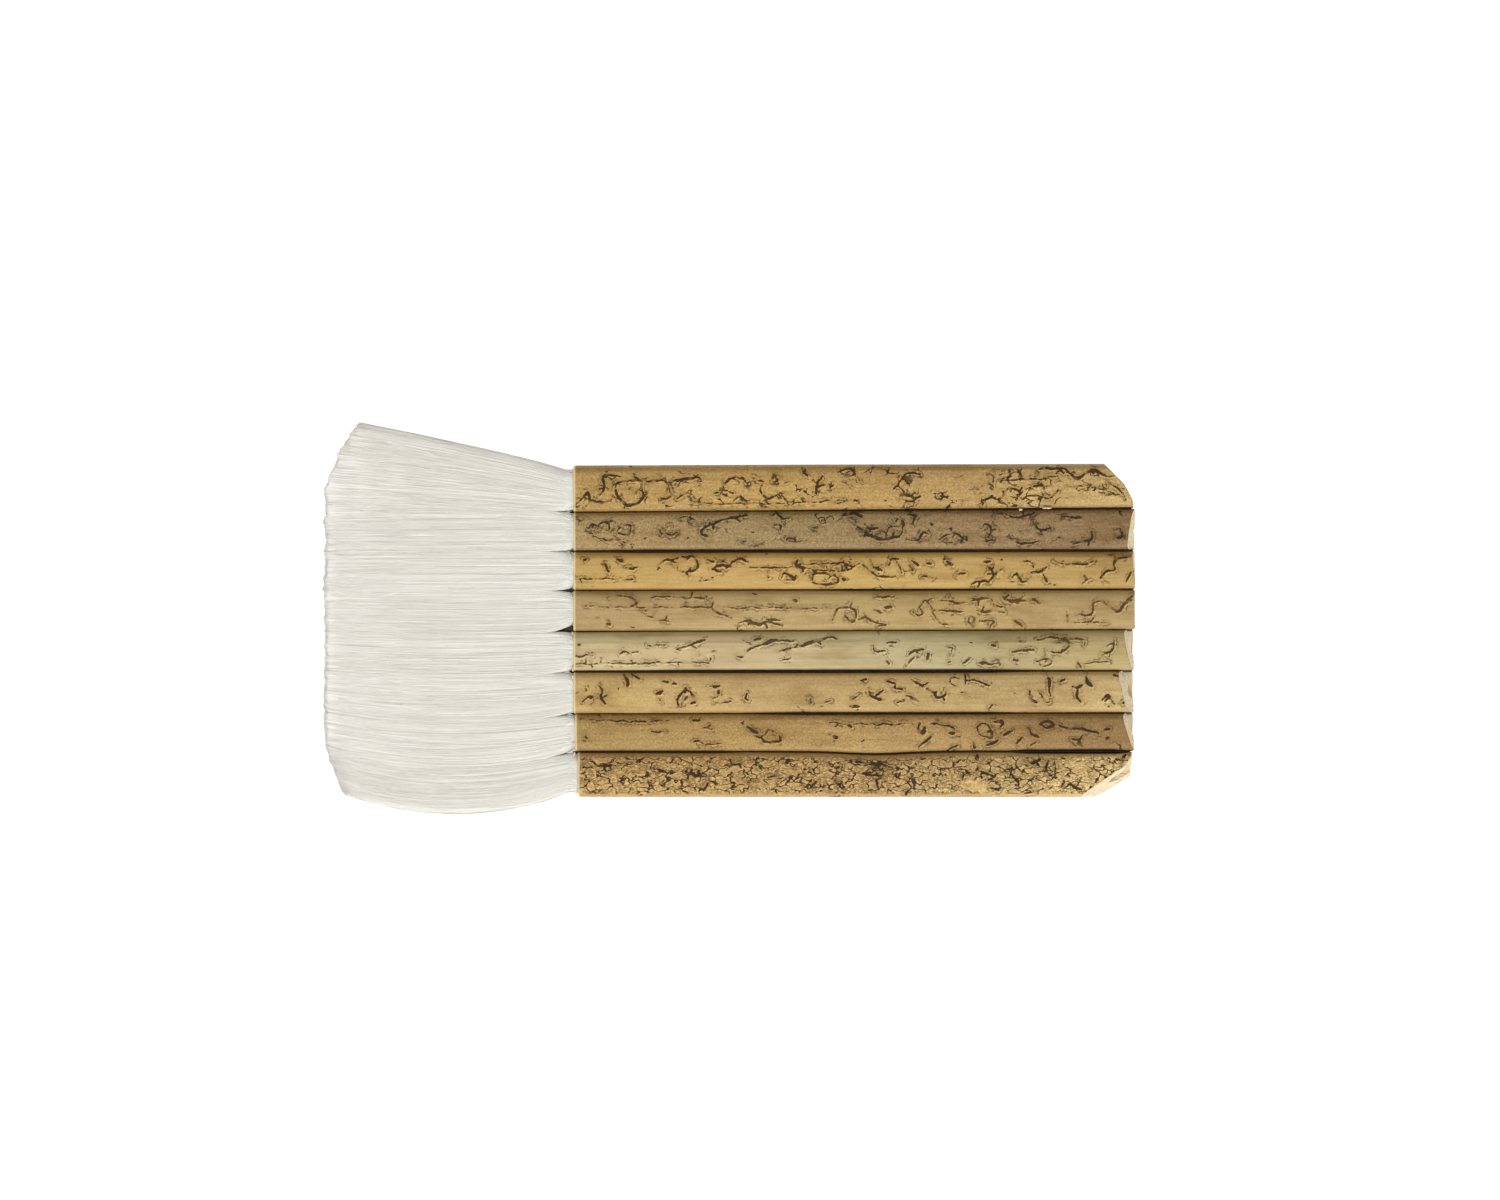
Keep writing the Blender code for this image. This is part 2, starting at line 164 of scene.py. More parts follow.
def lattice_noise(points, seed):
    """Smooth value noise from -1 to 1 at points given in noise cells."""
    base = np.floor(points).astype(np.int64)
    part = points - base
    part = part * part * (3.0 - 2.0 * part)
    total = np.zeros(len(points))
    for corner in range(8):
        offset = np.array([(corner >> axis) & 1 for axis in range(3)])
        cell = base + offset
        key = cell[:, 0] * 73856093 ^ cell[:, 1] * 19349663 ^ cell[:, 2] * 83492791 ^ seed * 2654435761
        key = (key ^ (key >> 13)) * 1274126177 & 0x7FFFFFFF
        value = ((key ^ (key >> 16)) & 0xFFFF) / 32767.5 - 1.0
        weight = np.prod(np.where(offset == 1, part, 1.0 - part), axis=1)
        total += value * weight
    return total


def smooth(low, high, value):
    share = np.clip((value - low) / (high - low), 0.0, 1.0)
    return share * share * (3.0 - 2.0 * share)


def square_walk():
    """Places round a unit square, clockwise from its upper left corner, closest on its top."""
    legs = [(TOP_POINTS, (-1, 1), (1, 1)), (SIDE_POINTS, (1, 1), (1, -1)),
            (UNDER_POINTS, (1, -1), (-1, -1)), (SIDE_POINTS, (-1, -1), (-1, 1))]
    return np.concatenate([np.linspace(start, end, count, endpoint=False)
                           for count, start, end in legs]).T


def stem_ends(node, index):
    """X of a stem's mouth and tail, its two sides at each, and its height at each."""
    points = np.array([vertex.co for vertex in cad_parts[node].data.vertices])
    low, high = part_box(node)
    mouth = points[points[:, 0] < low.x + 1.0 * MM]
    tail = points[points[:, 0] > high.x - 1.0 * MM]
    tail_sides = [tail[:, 1].min(), tail[:, 1].max()]
    if index == 0:
        tail_sides[1] = high.y
    if index == STEM_COUNT - 1:
        tail_sides[0] = low.y
    mouth_sides = [mouth[:, 1].min(), mouth[:, 1].max()]
    return low.x, high.x, mouth_sides, tail_sides, [mouth[:, 2].max(), high.z]


def scar_curve(corners, seed):
    """A crooked line through the corners of a scar, and its half width all along."""
    corners = np.array(corners)
    padded = np.vstack([2 * corners[0] - corners[1], corners, 2 * corners[-1] - corners[-2]])
    pieces = []
    for before, start, end, after in zip(padded, padded[1:], padded[2:], padded[3:]):
        count = max(3, int(np.linalg.norm(end - start) / SCAR_STEP))
        t = np.linspace(0.0, 1.0, count, endpoint=False)[:, None]
        pieces.append(0.5 * (2 * start + (end - before) * t
                             + (2 * before - 5 * start + 4 * end - after) * t ** 2
                             + (3 * start - 3 * end + after - before) * t ** 3))
    line = np.vstack(pieces + [corners[-1:]])
    run = np.arange(len(line)) * SCAR_STEP
    spots = np.stack([run * 0.8, 0.0 * run, 0.0 * run], axis=1)
    shake = [lattice_noise(spots, seed + k) + 0.5 * lattice_noise(spots * 2.3, seed + 2 + k) for k in (0, 1)]
    line = line + SCAR_SHAKE * np.stack(shake, axis=1)
    taper = 0.5 + 0.5 * np.sin(np.linspace(0.0, math.pi, len(line)))
    return line, taper * (0.85 + 0.6 * lattice_noise(spots * 0.9, seed + 5))


def crooked_scars(scars, half_width, seed):
    """Every scar as a crooked line with its half widths, and the small cracks that leave it."""
    random = np.random.default_rng(seed)
    lines = []
    for place, (width, *numbers) in enumerate(scars):
        corners = np.array(numbers).reshape(-1, 2) * (1.0, half_width)
        line, share = scar_curve(corners, seed + 10 * place)
        lines.append((line, share * width * SCAR_BREADTH))
        for step in range(2, len(line) - 2):
            if width > 0.2 and random.random() < BRANCH_CHANCE:
                along = line[step + 1] - line[step]
                bearing = math.atan2(along[1], along[0]) + random.choice([-1, 1]) * random.uniform(0.7, 2.0)
                reach = random.uniform(0.4, 1.3) * np.array([1.3 * math.cos(bearing), math.sin(bearing)])
                bend = random.normal(0.0, 0.12, 2)
                branch = np.stack([line[step], line[step] + reach * 0.5 + bend, line[step] + reach])
                lines.append((branch, np.array([0.36, 0.3, 0.12]) * width))
    return lines


def distance_to_scars(along, across, lines):
    """How far each spot on the skin is from the edge of the nearest scar, in millimetres."""
    nearest = np.full(len(along), FAR_FROM_SCAR)
    for line, radii in lines:
        close = np.where((along > line[:, 0].min() - 1.2) & (along < line[:, 0].max() + 1.2))[0]
        close = close[(across[close] > line[:, 1].min() - 1.2) & (across[close] < line[:, 1].max() + 1.2)]
        spots = np.stack([along[close], across[close]], axis=1)
        for start, end, radius in zip(line, line[1:], radii):
            run = end - start
            share = np.clip((spots - start) @ run / (run @ run + 1e-9), 0.0, 1.0)[:, None]
            away = np.linalg.norm(spots - start - share * run, axis=1) - radius
            nearest[close] = np.minimum(nearest[close], away)
    return nearest


def seam_width(seam, along):
    """Width in mm of the dark line between two stems, dirt and painted shade, or of the painted shade along an outer
    side, mm from the mouth.
    """
    if 0 <= seam < len(SEAM_LINES):
        return np.interp(along, *zip(*SEAM_LINES[seam]))
    return np.full(np.shape(along), OUTER_LINE)


def seam_sag(x):
    """How far the last seam bends aside at x, where stem 7 is a little swollen."""
    return SAG_DEPTH * np.exp(-((x - SAG_X) / SAG_REACH) ** 2)


def rings_along(mouth_x, tail_x):
    """X of each ring from mouth to tail, and how far the rounded rims draw each ring in."""
    turns = np.radians(RIM_ANGLES)
    easing = RIM_ROUNDING * (1.0 - np.cos(turns))
    steps = int((tail_x - mouth_x - 2.0 * RIM_ROUNDING) / STEP_ALONG)
    body = np.linspace(mouth_x + RIM_ROUNDING, tail_x - RIM_ROUNDING, steps)
    along = np.concatenate([mouth_x + easing, body, tail_x - easing[::-1]])[:, None]
    inset = np.zeros((len(along), 1))
    inset[:len(turns), 0] = RIM_ROUNDING * (1.0 - np.sin(turns))
    inset[-len(turns):, 0] = inset[:len(turns), 0][::-1]
    return along, inset


def skin_relief(skin, index):
    """Height in mm of the skin's swellings, fibres, flakes and pits. Stem 8 is the most pitted."""
    spots = skin.reshape(-1, 3) / MM
    broad = lattice_noise(spots * (0.05, 0.22, 0.22), 11 + index)
    fibre = lattice_noise(spots * (0.04, 1.3, 1.3), 31 + index)
    flaked = lattice_noise(spots * (0.25, 0.4, 0.4), 51 + index)
    pits = lattice_noise(spots * (1.1, 1.6, 1.6), 71 + index)
    relief = 0.07 * broad + 0.02 * fibre + 0.05 * smooth(0.0, 0.2, flaked)
    relief = relief + (0.05 if index == STEM_COUNT - 1 else 0.02) * pits - 0.09
    return relief.reshape(skin.shape[:2])


def hollow_rings(mouth_x, tail_x, along, centre, socket, tallest, middle_z):
    """Rings from the tail back to the mouth, through the cane's own hollow and the drilled socket."""
    square = np.array(square_walk())
    across, upward = square / np.hypot(*square)
    rings = []
    for place, radius in [(tail_x, HOLLOW_RADIUS), (tail_x - 0.3 * MM, HOLLOW_RADIUS),
                          (mouth_x + SOCKET_DEPTH, HOLLOW_RADIUS), (mouth_x + SOCKET_DEPTH, socket),
                          (mouth_x + 0.3 * MM, socket), (mouth_x, socket)]:
        middle = np.interp(place, along[:, 0], centre[:, 0])
        rings.append(np.stack([np.full(len(across), place), middle + radius * across,
                               middle_z + min(radius, tallest) * upward], axis=1))
    return np.array(rings)


def stem_mesh(index, scars):
    """Skin from mouth to tail, then back through the hollow and the drilled socket."""
    name = "stem_" + str(index + 1)
    mouth_x, tail_x, mouth_sides, tail_sides, planed = stem_ends(name, index)
    middle_z = (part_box(name)[0].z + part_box(name)[1].z) / 2.0
    along, inset = rings_along(mouth_x, tail_x)
    share = (along - mouth_x) / (tail_x - mouth_x)
    from_mouth = (along - mouth_x) / MM
    lines_above, lines_below = seam_width(index - 1, from_mouth), seam_width(index, from_mouth)
    side_low = mouth_sides[0] + (tail_sides[0] - mouth_sides[0]) * share - (TIGHT_FIT - 0.2 * lines_below) * MM
    side_high = mouth_sides[1] + (tail_sides[1] - mouth_sides[1]) * share + (TIGHT_FIT - 0.2 * lines_above) * MM
    if index == STEM_COUNT - 2:
        side_low = side_low - seam_sag(along)
    if index == STEM_COUNT - 1:
        side_high = side_high - seam_sag(along)
    half_width = (side_high - side_low) / 2.0 - inset
    centre = (side_high + side_low) / 2.0
    half_height = planed[0] - middle_z + (planed[1] - planed[0]) * share - inset

    # A section between a circle and a square, and the way its skin faces
    square = np.array(square_walk())
    across, upward = square / np.sum(np.abs(square) ** SECTION_FULLNESS, axis=0) ** (1.0 / SECTION_FULLNESS)
    slope = np.stack([np.sign(across) * np.abs(across) ** (SECTION_FULLNESS - 1.0),
                      np.sign(upward) * np.abs(upward) ** (SECTION_FULLNESS - 1.0)])
    slope = slope / np.linalg.norm(slope, axis=0)
    around = len(across)
    skin = np.stack([np.repeat(along, around, axis=1), centre + half_width * across,
                     middle_z + half_height * upward], axis=2)
    relief = skin_relief(skin, index) * np.maximum(np.abs(slope[1]), 0.3)
    skin[:, :, 1] += slope[0] * relief * MM
    skin[:, :, 2] += slope[1] * relief * MM
    socket = half_width[len(RIM_ANGLES), 0] - SOCKET_WALL
    tallest = planed[0] - middle_z - SOCKET_WALL
    hollow = hollow_rings(mouth_x, tail_x, along, centre, socket, tallest, middle_z)
    rings = np.concatenate([skin, hollow])
    grid = np.arange(len(rings) * around).reshape(len(rings), around)
    far = np.roll(grid, -1, axis=0)
    faces = np.stack([grid, np.roll(grid, -1, axis=1), np.roll(far, -1, axis=1), far], axis=2)
    mesh = bpy.data.meshes.new("bamboo_" + name)
    mesh.from_pydata(rings.reshape(-1, 3), [], faces.reshape(-1, 4).tolist())
    bands = np.zeros(len(rings), np.int32)
    bands[len(along) - 1:] = 1
    mesh.polygons.foreach_set("material_index", np.repeat(bands, around))
    mesh.shade_smooth()

    # What the skin's material needs: place across the stem, the width of the dirt and painted shade along
    # its edges, and distances to scars and to the lips that take a painted highlight
    sideways, edge_dirt_and_shade = np.zeros((2, *rings.shape[:2]))
    sideways[:len(along)] = across
    # Share of the half width darkened along each edge: dirt and painted shade at the seams, painted shade along the
    # outer sides
    edge_dirt_and_shade[:len(along)] = np.where(across > 0.0, lines_above, lines_below) * MM / 2.0 / half_width
    layers = [("side", sideways), ("edge_dirt_and_shade", edge_dirt_and_shade)]
    top = np.where(upward > 0.25)[0]
    lines = crooked_scars(scars, half_width[len(RIM_ANGLES) + 1, 0] / MM, 1000 * (index + 1))
    # The second layer measures distance to the scars shifted down and along, for a painted highlight on one side of
    # each scar
    for label, shift in (("scar", (0.0, 0.0)), ("lip_highlight", LIP_HIGHLIGHT_OFFSET)):
        nearest = np.full(rings.shape[:2], FAR_FROM_SCAR)
        x = np.repeat(from_mouth - shift[0], len(top), axis=1)
        y = half_width * across[top] / MM - shift[1]
        nearest[:len(along), top] = distance_to_scars(x.ravel(), y.ravel(), lines).reshape(x.shape)
        layers.append((label, nearest))
    for label, values in layers:
        layer = mesh.attributes.new(label, "FLOAT", "POINT")
        layer.data.foreach_set("value", values.astype(np.float32).ravel())
    return mesh


def add_piece(name, mesh, *materials):
    """Put a new piece in the scene, with the materials its faces are numbered for."""
    for material in materials:
        mesh.materials.append(material)
    piece = bpy.data.objects.new(name, mesh)
    bpy.context.scene.collection.objects.link(piece)
    return piece


def add_cutter(name, shape, matrix, material):
    """A cutter of the given shape, placed by the matrix. It is taken away once it has cut."""
    mesh = bpy.data.meshes.new(name)
    shape.to_mesh(mesh)
    shape.free()
    cutter = add_piece(name, mesh, material)
    cutter.matrix_world = matrix
    return cutter


def stem_cutters(index, material):
    """What takes bamboo off a stem: the pin drill, the sanding at its tail, the corner saw."""
    name = "stem_" + str(index + 1)
    low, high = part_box(name)
    middle_z = (cad_low.z + cad_high.z) / 2.0
    cutters = []
    for x in PIN_HOLE_XS:
        shape = bmesh.new()
        bmesh.ops.create_cone(shape, cap_ends=True, segments=HOLE_SEGMENTS, radius1=PIN_HOLE_RADIUS,
                              radius2=PIN_HOLE_RADIUS, depth=CUTTER_SIZE)
        place = Matrix.Translation((x, (low.y + high.y) / 2.0, middle_z))
        cutters.append(add_cutter("pin_drill", shape, place @ Matrix.Rotation(math.pi / 2.0, 4, "X"), material))
    reach, depth, skew = SANDED[index]
    lean = math.atan2(depth, reach)
    edge = Vector((high.x - reach * MM, (low.y + high.y) / 2.0, high.z))
    blocks = [(edge, Matrix.Rotation(skew, 4, "Z") @ Matrix.Rotation(lean, 4, "Y"))]
    if index in CORNERS:
        side = 1.0 if index == 0 else -1.0
        outer_y = high.y if index == 0 else low.y
        for length, width, lean in CORNERS[index]:
            start = Vector((cad_high.x - length * MM, outer_y, middle_z))
            run = (Vector((cad_high.x, outer_y - side * width * MM, middle_z)) - start).normalized()
            outward = Vector((-run.y, run.x, 0.0)) * side
            turned = outward.to_track_quat("Z", "Y").to_matrix().to_4x4()
            turned = Matrix.Rotation(side * math.radians(lean), 4, run) @ turned
            blocks.append((start, turned))
    for corner, turned in blocks:
        shape = bmesh.new()
        bmesh.ops.create_cube(shape, size=CUTTER_SIZE)
        place = Matrix.Translation(corner + turned.to_3x3() @ Vector((0, 0, 1)) * (CUTTER_SIZE / 2.0))
        cutters.append(add_cutter("tail_saw", shape, place @ turned, material))
    return cutters


def cut_away(piece, cutters):
    """Take the cutters out of a piece for good; the cut faces keep the cutters' material."""
    for cutter in cutters:
        modifier = piece.modifiers.new("cut", "BOOLEAN")
        modifier.object = cutter
        modifier.operation = "DIFFERENCE"
        modifier.solver = "EXACT"
        modifier.material_mode = "TRANSFER"
    bpy.context.view_layer.update()
    whole = piece.evaluated_get(bpy.context.evaluated_depsgraph_get())
    cut_mesh = bpy.data.meshes.new_from_object(whole)
    piece.modifiers.clear()
    cut_mesh.name = piece.name
    piece.data = cut_mesh
    for cutter in cutters:
        bpy.data.objects.remove(cutter)


def add_node(tree, kind, inputs=(), **settings):
    """One shader node. inputs gives each socket its value, or the output that feeds it."""
    node = tree.nodes.new("ShaderNode" + kind)
    for key, value in settings.items():
        setattr(node, key, value)
    for socket, value in dict(inputs).items():
        if isinstance(value, bpy.types.NodeSocket):
            tree.links.new(value, node.inputs[socket])
        else:
            node.inputs[socket].default_value = value
    return node


def calculate(tree, operation, *values):
    return add_node(tree, "Math", dict(enumerate(values)), operation=operation).outputs[0]


def ramp_up(tree, value, low, high):
    """0 at low, 1 at high, smooth between. low above high gives the reverse."""
    node = add_node(tree, "MapRange", {"Value": value, "From Min": low, "From Max": high},
                    interpolation_type="SMOOTHSTEP")
    return node.outputs["Result"]


def stretched(tree, coordinates, *scale):
    return add_node(tree, "VectorMath", {0: coordinates, 1: scale}, operation="MULTIPLY").outputs[0]


def noise(tree, coordinates, scale, detail=2.0, roughness=0.5):
    node = add_node(tree, "TexNoise", {"Vector": coordinates, "Scale": scale, "Detail": detail,
                                       "Roughness": roughness})
    return node.outputs["Fac"]


def mix_colour(tree, share, first, second, blend="MIX"):
    node = add_node(tree, "Mix", {0: share, 6: first, 7: second}, data_type="RGBA", blend_type=blend)
    return node.outputs[2]


def mesh_layer(tree, name):
    return add_node(tree, "Attribute", attribute_name=name).outputs["Fac"]


def new_material(name):
    """A new material, its node tree, and the shader in it."""
    material = bpy.data.materials.new(name)
    material.use_nodes = True
    return material, material.node_tree, material.node_tree.nodes["Principled BSDF"]


def roughen(tree, shader, height, strength, distance):
    """Relief on a surface: a height from 0 to 1, its strength, and the height of 1 in mm."""
    bump = add_node(tree, "Bump", {"Height": height, "Strength": strength, "Distance": distance * MM})
    tree.links.new(bump.outputs["Normal"], shader.inputs["Normal"])


def linear(red, green, blue):
    """A colour given as 0 to 255 display values, as the linear colour that shaders take."""
    values = np.array([red, green, blue]) / 255.0
    values = np.where(values <= 0.04045, values / 12.92, ((values + 0.055) / 1.055) ** 2.4)
    return (*values.tolist(), 1.0)


# Each stem's skin: its colour from the hair end to the tail, how much of it is flaked, crackled,
# flecked and sandy, the painted shade on its upper facet (where it starts across the stem, and its
# tint), and its largest scars. A scar is its width in mm, then its corners: mm from the mouth, and the
# share of the half width from the middle.
CANES = [
    {"skin": [(196, 161, 96), (201, 165, 98), (197, 161, 96), (196, 161, 101), (209, 178, 117)],
     "flaked": 0.55, "crackled": 0.2, "flecked": 0.35, "sandy": 0.9, "dark": (58, 36, 10),
     "shaded_facet": (0.72, (0.8, 0.78, 0.72, 1.0)),
     "scars": [
         (.35, .6, -.7, 2.9, -.2, 3.5, -.5, 2.5, -.8), (.45, 10, .53, 6.4, .5, 6.3, 0, 5.4, -.3),
         (.4, 14, .3, 9.1, .24, 9.4, -.46, 11.4, -.7, 14.1, -.46, 14, .3), (.6, 12, -.1, 12.9, -.2),
         (.35, 14.6, .26, 18.5, .28, 20.2, -.3, 18.5, -.46, 16.9, -.2), (.35, 3.6, -.5, 6, -.6, 8, -.45),
         (.4, 20.2, .28, 22.7, .38, 25.6, .44, 26, .28), (.35, 21.2, -.44, 22.9, -.24, 24.1, -.32),
         (.3, 24.4, -.57, 25.8, -.53), (.3, 28.5, -.2, 29.6, -.22),
         (.35, 33.1, -.28, 30.8, 0, 31.7, .35, 34.2, .44, 35.8, .12),
         (.35, 36.7, .4, 38.7, .26, 38.1, -.14, 39.8, -.46, 42.3, -.32, 43.7, -.55),
         (.45, 40.6, .19, 42.1, .38), (.35, 46.5, .8, 47.9, .49), (.3, 32.8, -.55, 34.2, -.4, 35.4, -.6),
         (.35, 48.5, -.05, 49.4, -.28, 50, .22, 50.8, .44), (.35, 54.2, .67, 56.9, .73, 58.6, .22),
         (.3, 52, -.03, 53, .04), (.18, 24.4, -.63, 37.7, -.68, 58, -.56),
         (.45, 70.8, .55, 68, .53, 66.5, .13, 67.4, -.23, 69.6, -.48, 70.8, -.41),
         (.35, 67.1, .44, 68.7, 0), (.3, 66.7, -.55, 69.6, -.7), (.3, 74.7, -.42, 76.4, -.46),
         (.35, 84.9, .24, 84.5, .51, 85.8, .4, 85.8, 0),
         (.4, 82.9, -.64, 85.1, -.5, 87.2, -.53, 88.8, -.08, 90.9, -.23, 91.5, -.55),
         (.3, 87.6, -.46, 89.4, -.75), (.35, 90.9, -.37, 93.3, 0, 96, 0),
         (.4, 91.7, -.58, 93.7, -.37, 97.2, -.55, 99.1, -.17), (.25, 87.4, .23, 94, .31, 98.3, .39),
         (.6, 95, .76, 99.9, .73, 103, .35, 105.8, .71, 108.9, .4, 110.5, .44),
         (.25, 100.3, 0, 107.3, -.1, 111.6, -.46), (.3, 109, .2, 111, -.1, 112.6, -.5)]},
    {"skin": [(181, 153, 103), (170, 145, 98), (163, 137, 93), (164, 136, 93), (157, 129, 88)],
     "flaked": 0.45, "crackled": 0.3, "flecked": 0.3, "sandy": 1.0, "dark": (52, 36, 20),
     "shaded_facet": (0.8, (0.86, 0.83, 0.76, 1.0)),
     "scars": [
         (.3, 3.1, .14, 3.9, .35, 5, .3), (.4, 5, .1, 5.4, .45, 7, .45, 7.3, .14),
         (.45, 8.9, -.1, 9.6, .2, 11.6, .3, 11.4, -.16, 9.3, -.1), (.25, 3.9, -.27, 7.3, -.42, 10.4, -.42),
         (.35, 17.5, .14, 18.3, -.11), (.2, 20, .3, 18.8, .1, 19.6, -.2, 21.5, -.1),
         (.5, 28.1, -.34, 26.2, -.16, 26.4, .14, 28.9, .45, 32.3, .63, 35.6, .81),
         (.45, 40.6, .76, 41.5, .95, 42.1, .76, 42.7, .56, 44.2, .66), (.35, 41.3, .25, 42.3, .25, 42.1, .04),
         (.4, 43.7, -.42, 45.2, -.4), (.6, 55.2, .76, 57.3, .87, 58.9, .7), (.3, 49, .1, 50, .12),
         (.5, 56.9, .45, 58.9, 0, 60.8, -.3, 63.5, -.44, 66.7, -.25, 67.5, .36, 65.7, .64),
         (.4, 59.2, .36, 60.8, .08, 62.4, .1), (.35, 63.7, -.35, 64.3, .12, 66.1, .26),
         (.4, 68.2, .83, 69.8, .78, 69.6, .36), (.35, 68, -.44, 70.4, -.47, 71.6, -.11, 72.5, -.28),
         (.4, 74.7, -.54, 76.8, -.16, 78.6, -.25, 80.4, -.58), (.3, 76, -.6, 77.6, -.7),
         (.35, 83.1, .03, 84.3, .26, 85.4, 0, 84.3, -.58, 85.8, -.5),
         (.5, 85.8, .36, 86.6, .88, 90.5, .64, 94.4, .9), (.3, 89, -.44, 92.1, -.73, 95.8, -.54),
         (.3, 94, .36, 95.4, -.02, 97.6, .06), (.4, 102.3, -.73, 105.8, -.5, 105.8, -.1),
         (.35, 110.3, 0, 111.6, .03, 112.2, -.3, 110.7, -.4, 110.3, 0), (.4, 99.9, .64, 103.8, .6)]},
    {"skin": [(205, 170, 99), (210, 173, 105), (206, 172, 100), (209, 175, 106), (197, 164, 99)],
     "flaked": 0.3, "crackled": 0.0, "flecked": 0.5, "sandy": 0.3, "dark": (64, 38, 10),
     "shaded_facet": (0.66, (0.84, 0.76, 0.64, 1.0)),
     "scars": [
         (.5, 2, .57, 2.5, .57), (.4, 6.6, .36, 7.3, 0), (.6, 8.9, .62, 10.4, .48), (.4, 10.6, .15, 13.1, .15),
         (.45, 17.3, .26, 18.9, .57, 21, .44), (.45, 21.4, .31, 21.9, -.05, 25.4, .13, 24.4, .72, 23.1, .57),
         (.4, 27.5, .57, 28.7, .46), (.4, 30.2, .5, 30.8, .5), (.45, 28.5, .1, 30.2, .26, 32.7, .19),
         (.35, 28.5, .07, 30.2, -.03), (.4, 33.1, .46, 34, .59, 35.6, .44), (.25, 36, .2, 42.7, .17, 45.4, .2),
         (.5, 45.8, .55, 45.5, .24, 47.3, .1), (.45, 55.2, .48, 56, .1),
         (.3, 45.8, .34, 50.6, .36, 55.2, .38, 57.1, .1, 53.5, -.05, 47.7, .13, 45.8, .34),
         (.25, .4, -.39, 9.1, -.39), (.3, 10.2, -.46, 12.1, -.46), (.4, 39.2, -.24, 40, -.3),
         (.4, 42.5, -.36, 43.1, -.15, 45.2, -.4, 43.1, -.5), (.3, 26.4, -.46, 27.9, -.46),
         (.45, 49, -.2, 48.8, -.57, 50.6, -.69, 54, -.62, 53.5, -.26, 51, -.15, 49, -.2),
         (.4, 52.1, -.46, 52.9, -.2), (.45, 54.9, -.45, 55.6, -.47),
         (.35, 56.9, .18, 58.9, .33, 60.8, -.07, 62.8, -.32, 65.9, -.32), (.45, 60.6, .63, 61.4, .18, 63, 0),
         (.35, 64.7, .23, 64.9, .58, 66.3, .58), (.3, 66.1, .43, 67.1, -.07), (.45, 69.4, .53, 70.4, .33),
         (.45, 72.2, .38, 73.1, .33), (.35, 68.6, .23, 69.4, .03), (.4, 71.2, -.29, 73.5, -.35),
         (.5, 76.5, .48, 77.4, .28), (.35, 78.2, -.32, 79, -.12, 79.8, -.17),
         (.45, 81.2, -.72, 83.9, -.52, 84.7, -.57, 86, -.27, 85.1, .13), (.5, 84.1, .43, 85.1, .45),
         (.4, 85.8, .03, 87.2, .03), (.5, 89.6, -.37, 90.7, -.22, 91.3, -.57, 92.3, -.59),
         (.4, 93.7, -.07, 95.4, -.02, 96.4, .13), (.4, 96, -.17, 96.8, -.57), (.3, 91.9, .48, 94.3, .33),
         (.35, 98, .48, 100.7, .33, 103.8, .28, 106.2, .43), (.4, 104, -.62, 105.6, -.42),
         (.45, 107.8, -.37, 108.9, -.07, 110.5, .03, 110.9, .53, 113.2, .63), (.4, 108.1, -.47, 109.3, -.67),
         (.4, 112.8, -.62, 114, -.07)]},
    {"skin": [(190, 162, 109), (199, 173, 119), (194, 168, 112), (193, 165, 106), (191, 165, 112)],
     "flaked": 0.25, "crackled": 0.0, "flecked": 0.2, "sandy": 0.3, "dark": (86, 60, 26),
     "shaded_facet": (0.78, (0.9, 0.88, 0.82, 1.0)),
     "scars": [
         (.4, 6.8, .67, 7.3, .67), (.3, 8.9, .72, 11.8, .67, 12.9, .41, 12.7, .19),
         (.15, 2.3, .21, 12.7, .19, 22.3, .19), (.4, 21.9, .21, 28.5, .19),
         (.3, 15.8, .67, 19.4, .67, 22.7, .64, 26.9, .62), (.3, 28.5, .52, 28.7, .06, 30.2, -.19, 32.3, -.39),
         (.5, 33.5, -.6, 35.6, -.5, 37.7, -.65, 39.8, -.55, 42.7, -.7), (.4, 39.4, -.39, 42.3, -.5),
         (.45, 45, .52, 45.8, .5), (.35, 14.8, 0, 16.2, .06, 16.4, -.24, 15.2, -.24),
         (.4, 52.9, -.44, 54.2, .06, 56.5, .13, 57.9, -.19, 56.9, -.53, 55.6, -.29),
         (.3, 16.9, -.47, 19.4, -.52), (.4, 6.8, -.65, 7.6, -.7), (.15, 28.9, .16, 52.7, .11),
         (.3, 61.8, .65, 65.9, .65), (.5, 63.7, .13, 64.7, .16), (.35, 61.4, .06, 62.8, -.09),
         (.35, 56.9, -.09, 57.7, -.39, 56.9, -.58), (.4, 59.2, -.14, 61.2, -.53, 63.9, -.68, 62.4, -.76),
         (.4, 69.4, -.06, 70.4, -.21, 71.6, -.14, 70.8, .11, 71.8, .46, 72.9, .21, 73.7, -.19, 75.1, -.63,
          76.8, -.73), (.3, 73.7, -.04, 79.6, -.04), (.35, 74.7, .52, 78.2, .36, 80.4, .41),
         (.4, 81.2, .49, 85.1, .55, 86, .2, 86.6, -.04, 88.2, -.1),
         (.4, 80.6, -.53, 81, -.34, 81.9, -.44, 81.7, -.78, 80.6, -.53), (.35, 82.7, .01, 83.9, -.14, 86, 0),
         (.35, 83.1, -.53, 86, -.53, 85.1, -.83), (.5, 89.8, -.39, 91.7, -.76),
         (.5, 87.6, .75, 88.6, .46, 91.3, .5, 92.3, .46), (.5, 93.9, .5, 95.2, .36),
         (.4, 100.7, -.1, 101.1, -.58), (.35, 103.1, -.24, 105.8, -.19, 106.2, .31, 107.3, .41),
         (.25, 101.9, -.58, 109.1, -.6), (.45, 107.8, .41, 109.3, .21, 111.3, -.09, 113.2, .41, 114.2, .7)]},
    {"skin": [(214, 193, 147), (206, 182, 137), (209, 192, 146), (189, 174, 129), (194, 173, 120)],
     "flaked": 0.2, "crackled": 0.0, "flecked": 0.2, "sandy": 0.15, "dark": (76, 56, 26),
